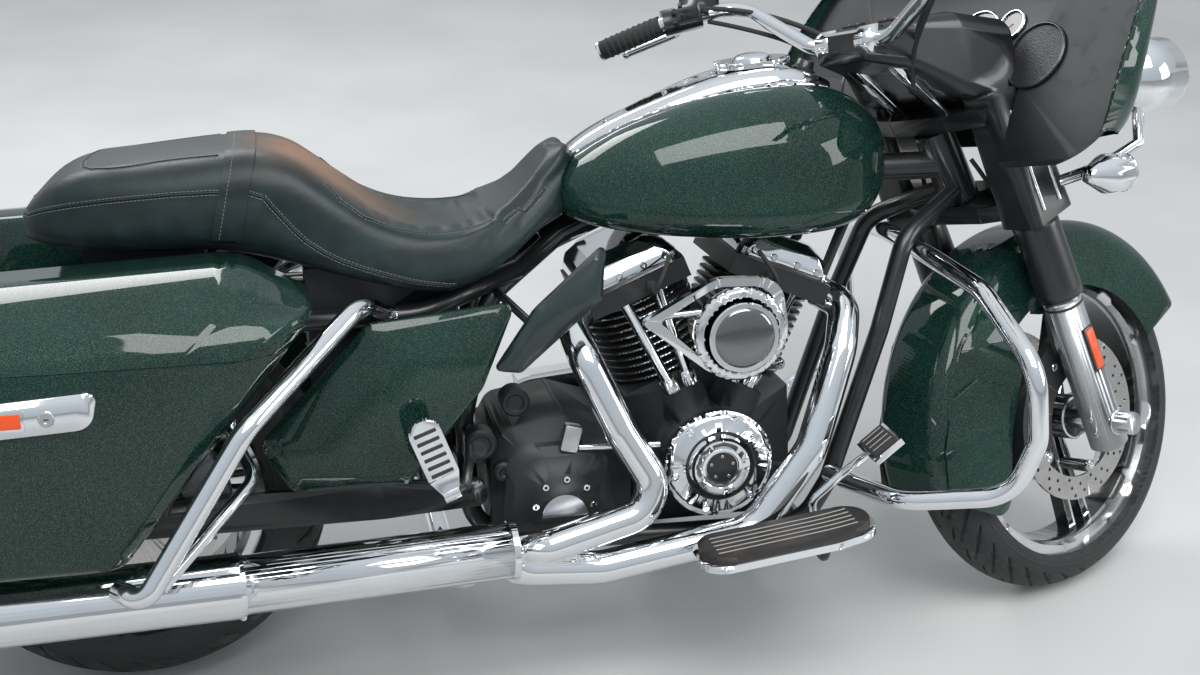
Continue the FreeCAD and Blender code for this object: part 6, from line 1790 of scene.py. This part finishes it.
class Seat(SubAssembly):
    """The padded seat with its sewn seams and the grab strap."""

    side_seam = (
        (-104, -60, 800), (-99, -88, 803), (-77, -106, 811), (-34, -122, 819), (15, -133, 825),
        (66, -139, 829), (119, -143, 832), (169, -146, 833), (220, -149, 832), (247, -150, 822),
        (257, -152, 808), (272, -155, 790), (287, -159, 772), (304, -163, 755), (331, -169, 736),
        (358, -173, 722), (387, -176, 710), (415, -177, 700),
        (460, -176, 685), (500, -174, 676), (530, -170, 668),
    )
    top_seam = (
        (-24, 0, 869), (-16, -60, 868), (-2, -88, 868), (24, -97, 870), (50, -99, 872),
        (106, -96, 879), (143, -98, 881), (184, -102, 882),
    )
    dish_seam = (
        (338, -120, 830), (352, -136, 800), (390, -144, 775), (440, -146, 765), (490, -142, 757),
        (535, -132, 752), (597, -112, 752), (643, -92, 765), (691, -62, 800), (716, -36, 830),
    )

    def build(self) -> None:
        """Make the cushion, then sew it."""
        seams = self._paths()
        item = self._cushion(seams)
        self._sew(item, seams)
        self._strap(item)

    @staticmethod
    def _dense(points: Sequence[Vector], gap: float) -> list[Vector]:
        """Points at even gaps along a line, in the same unit."""
        dense = [points[0]]
        for start, end in zip(points, points[1:]):
            count = max(1, round((end - start).length / gap))
            dense += [start.lerp(end, (number + 1) / count) for number in range(count)]
        return dense

    def _paths(self) -> list[list[Vector]]:
        """The seam lines of both sides, in the frame."""
        paths = []
        for line in (self.side_seam, self.top_seam, self.dish_seam):
            for side in (1, -1):
                points = [MACHINE.point((x, side * y, z)) for x, y, z in line]
                paths.append(self._dense(points, 6 * MM))
        return paths

    def _cushion(self, seams: list[list[Vector]]) -> bpy.types.Object:
        """Remesh the seat's solid, hollow the rider's place and swell it between its seams."""
        original = frame["nodes"]["seat"]
        item = bpy.data.objects.new("seat_cushion", original.data.copy())
        bpy.context.scene.collection.objects.link(item)
        item.data.materials.clear()
        activate(item)
        item.data.remesh_voxel_size = 7 * MM
        bpy.ops.object.voxel_remesh()
        self._dish(item)
        with editing(item):
            bpy.ops.transform.shrink_fatten(value=-3 * MM)
        self._swell(item, seams)
        apply_modifier(item, "SUBSURF", levels=1, render_levels=1)
        smooth(item, 180)
        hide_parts("seat")
        self.keep(item, Body.CHASSIS, Finish.LEATHER, "black_leather", None)
        return item

    @staticmethod
    def _dish(item: bpy.types.Object) -> None:
        """Hollow the top where the rider sits."""
        inward = MACHINE.matrix().inverted()
        steepness = [vertex.normal.dot(UPWARD) for vertex in item.data.vertices]
        for vertex, level in zip(item.data.vertices, steepness):
            place = inward @ vertex.co / MM
            along = max(0.0, 1 - ((place.x - 490) / 190) ** 2)
            across = max(0.0, 1 - (place.y / 160) ** 2)
            top = min(1.0, max(0.0, (level - 0.2) / 0.5))
            vertex.co -= UPWARD * (18 * MM * along * across * top)

    @staticmethod
    def _swell(item: bpy.types.Object, seams: list[list[Vector]]) -> None:
        """Blow the cover up like cloth, held at the seams and underneath."""
        count = sum(len(path) for path in seams)
        tree = kdtree.KDTree(count)
        number = 0
        for path in seams:
            for point in path:
                tree.insert(point, number)
                number += 1
        tree.balance()
        group = item.vertex_groups.new(name="sewn")
        held = []
        for vertex in item.data.vertices:
            _, _, away = tree.find(vertex.co)
            if away < 11 * MM or vertex.normal.dot(UPWARD) < -0.35:
                held.append(vertex.index)
        group.add(held, 1.0, "REPLACE")
        before = [vertex.co.copy() for vertex in item.data.vertices]
        cloth = item.modifiers.new("cover", "CLOTH")
        settings = cloth.settings
        settings.quality = 4
        settings.use_pressure = True
        settings.uniform_pressure_force = 4
        settings.vertex_group_mass = "sewn"
        settings.effector_weights.gravity = 0
        cloth.point_cache.frame_start, cloth.point_cache.frame_end = 1, 20
        scene = bpy.context.scene
        for step in range(1, 21):
            scene.frame_set(step)
        shown = item.evaluated_get(bpy.context.evaluated_depsgraph_get())
        after = [vertex.co.copy() for vertex in shown.data.vertices]
        item.modifiers.remove(cloth)
        limit = 9 * MM
        for vertex, old, new in zip(item.data.vertices, before, after):
            move = new - old
            if move.length > limit:
                move *= limit / move.length
            vertex.co = old + move
        scene.frame_set(1)
        item.vertex_groups.clear()

    def _sew(self, item: bpy.types.Object, seams: list[list[Vector]]) -> None:
        """A welt along each seam, with a row of stitches on both sides of it."""
        places = []
        for number, path in enumerate(seams):
            line, normals = self._laid(item, path)
            if len(line) < 4:
                continue
            raised = [at + normal * 0.3 * MM for at, normal in zip(line, normals)]
            welt = hose(f"seat_welt_{number}", raised, 1.5, 2)
            self.keep(welt, Body.CHASSIS, Finish.LEATHER, "black_leather", 60)
            for at, after, normal in zip(line, line[1:], normals):
                way = after - at
                if way.length < 1e-6:
                    continue
                aside = normal.cross(way.normalized())
                for shift in (-3.6, 3.6):
                    place = at + aside * shift * MM + normal * 0.15 * MM
                    places.append(facing(place, normal, way))
        stitch = block("stitch", (4.4, 1.0, 0.9), Matrix.Identity(4), 0.3)
        stitches = copies("seat_stitches", stitch, places)
        self.keep(stitches, Body.CHASSIS, Finish.THREAD, "black_leather")

    @staticmethod
    def _laid(item: bpy.types.Object, path: Sequence[Vector]) -> tuple[list[Vector], list[Vector]]:
        """A line laid on a piece's surface, and the surface's normals along it."""
        line, normals = [], []
        for point in path:
            hit, place, normal, _ = item.closest_point_on_mesh(point)
            if hit and (place - point).length < 45 * MM:
                line.append(place)
                normals.append(normal)
        return line, normals

    def _strap(self, item: bpy.types.Object) -> None:
        """The strap across the seat behind the rider, cut from the cushion's own surface."""
        strap = bpy.data.objects.new("seat_strap", item.data.copy())
        bpy.context.scene.collection.objects.link(strap)
        lean = math.radians(13.5)
        normal = MACHINE.way((math.cos(lean), 0, -math.sin(lean)))
        with editing(strap):
            for side in (-1, 1):
                edge = MACHINE.point((201 + side * 22, 0, 820))
                bpy.ops.mesh.select_all(action="SELECT")
                bpy.ops.mesh.bisect(plane_co=edge, plane_no=normal * side, clear_outer=True)
        low = MACHINE.point((0, 0, 728)).dot(UPWARD)
        choose_faces(strap, lambda middle, facet: facet.dot(UPWARD) < -0.25 or middle.dot(UPWARD) < low)
        bpy.ops.object.mode_set(mode="EDIT")
        bpy.ops.mesh.delete(type="FACE")
        bpy.ops.object.mode_set(mode="OBJECT")
        apply_modifier(strap, "SOLIDIFY", thickness=3.2 * MM, offset=1)
        self.keep(strap, Body.CHASSIS, Finish.LEATHER, "black_leather", 40)
        places = []
        for side in (-1, 1):
            line = []
            for step in range(0, 91):
                turn = math.radians(-12 + 204 * step / 90)
                middle = Vector((201 + side * 17.5, 0, 790))
                out = Vector((math.sin(lean) * math.sin(turn), -math.cos(turn), math.sin(turn)))
                start = MACHINE.point(middle + out * 260)
                hit, place, facet, _ = strap.ray_cast(start, -MACHINE.way(out))
                if hit:
                    line.append((place, facet))
            for (at, facet), (after, _) in zip(line, line[1:]):
                if 0.5 * MM < (after - at).length < 12 * MM:
                    places.append(facing(at + facet * 0.15 * MM, facet, after - at))
        if places:
            stitch = block("stitch", (4.0, 1.0, 0.9), Matrix.Identity(4), 0.3)
            stitches = copies("strap_stitches", stitch, places)
            self.keep(stitches, Body.CHASSIS, Finish.THREAD, "black_leather")


class Studio:
    """The floor, the light and the camera."""

    eye: Triple = (258.864, -2460.777, 1271.176)
    right: Triple = (0.97704458, -0.21289517, -0.00771637)
    down: Triple = (-0.06781597, -0.27648414, -0.95862272)
    forward: Triple = (0.20195269, 0.93714042, -0.28457502)
    focal_pixels: float = 1538.332
    frame_pixels: float = 1200

    def build(self) -> None:
        """Make all of it."""
        scene = bpy.context.scene
        scene.view_settings.view_transform = "Standard"
        self._camera()
        self._floor()
        self._world()
        self._lamps()

    def _camera(self) -> None:
        """The camera at the photograph's viewing angle."""
        data = bpy.data.cameras.new("camera")
        camera = bpy.data.objects.new("camera", data)
        bpy.context.scene.collection.objects.link(camera)
        axes = [MACHINE.way(self.right), -MACHINE.way(self.down), -MACHINE.way(self.forward)]
        turn = Matrix(axes).transposed().to_4x4()
        turn.translation = MACHINE.point(self.eye)
        camera.matrix_world = turn
        data.sensor_width = 36
        data.lens = self.focal_pixels / self.frame_pixels * data.sensor_width
        data.clip_start, data.clip_end = 0.05, 60
        bpy.context.scene.camera = camera

    def _floor(self) -> None:
        """A pale floor with a faint unevenness."""
        deselect()
        bpy.ops.mesh.primitive_plane_add(size=40, location=(0, 0, 0))
        floor = bpy.context.object
        floor.name = "floor"
        shader = Shader("pale_floor")
        place = shader.place()
        tone = shader.noise(place, 700, 3).ramp(0.3, 0.7)
        colour = shader.mix(tone, (0.47, 0.47, 0.465), (0.52, 0.52, 0.515))
        floor.data.materials.append(shader.dress(Base_Color=colour, Roughness=0.9))

    def _world(self) -> None:
        """Even light from all round, brighter above."""
        world = bpy.data.worlds.new("studio")
        bpy.context.scene.world = world
        world.use_nodes = True
        tree = world.node_tree
        tree.nodes.clear()
        output = tree.nodes.new("ShaderNodeOutputWorld")
        background = tree.nodes.new("ShaderNodeBackground")
        coordinates = tree.nodes.new("ShaderNodeTexCoord")
        split = tree.nodes.new("ShaderNodeSeparateXYZ")
        ramp = tree.nodes.new("ShaderNodeValToRGB")
        stops = ((0.0, (0.30, 0.30, 0.29)), (0.49, (0.34, 0.34, 0.34)), (0.53, (0.55, 0.58, 0.60)))
        stops += ((0.72, (0.62, 0.68, 0.74)), (1.0, (0.90, 0.93, 0.96)))
        height = tree.nodes.new("ShaderNodeMapRange")
        height.inputs["From Min"].default_value = -1
        while len(ramp.color_ramp.elements) < len(stops):
            ramp.color_ramp.elements.new(0.5)
        for element, (place, colour) in zip(ramp.color_ramp.elements, stops):
            element.position = place
            element.color = (*colour, 1)
        tree.links.new(coordinates.outputs["Generated"], split.inputs["Vector"])
        tree.links.new(split.outputs["Z"], height.inputs["Value"])
        tree.links.new(height.outputs["Result"], ramp.inputs["Fac"])
        tree.links.new(ramp.outputs["Color"], background.inputs["Color"])
        background.inputs["Strength"].default_value = 0.9
        tree.links.new(background.outputs["Background"], output.inputs["Surface"])

    def _lamps(self) -> None:
        """Soft boxes above the machine and beside it."""
        rows = (
            ("key", (0.4, -2.2, 4.2), (0.2, 0, 0.5), (3.2, 2.4), 150),
            ("rim", (-1.5, 3.0, 3.2), (0, 0, 0.7), (2.6, 1.6), 90),
            ("side", (3.6, -1.6, 1.8), (0.4, 0, 0.5), (1.6, 1.6), 40),
        )
        for name, at, target, size, power in rows:
            data = bpy.data.lights.new(name, "AREA")
            data.shape = "RECTANGLE"
            data.size, data.size_y = size
            data.energy = power
            lamp = bpy.data.objects.new(name, data)
            bpy.context.scene.collection.objects.link(lamp)
            lamp.location = at
            reach = Vector(target) - Vector(at)
            lamp.rotation_mode = "QUATERNION"
            lamp.rotation_quaternion = reach.to_track_quat("-Z", "Y")


def main() -> None:
    """Build the machine's parts in order, then the studio."""
    logging.basicConfig(level=logging.INFO, format="%(name)s: %(message)s")
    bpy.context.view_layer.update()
    parts = [
        Paintwork(),
        Mechanicals(),
        FrontWheel("front", Body.FRONT_WHEEL, FRONT_AXLE, 319, 65, 241.3, 36),
        Wheel("rear", Body.REAR_WHEEL, REAR_AXLE, 320, 90, 203, 34),
        Seat(),
        Engine(),
        Exhaust(),
        Fork(),
        Lamps(),
        Cockpit(),
        Luggage(),
        Footrests(),
    ]
    for part in parts:
        part.build()
        LOG.info("%s: %d pieces", type(part).__name__, len(part.pieces))
    Studio().build()


if __name__ == "__main__":
    main()
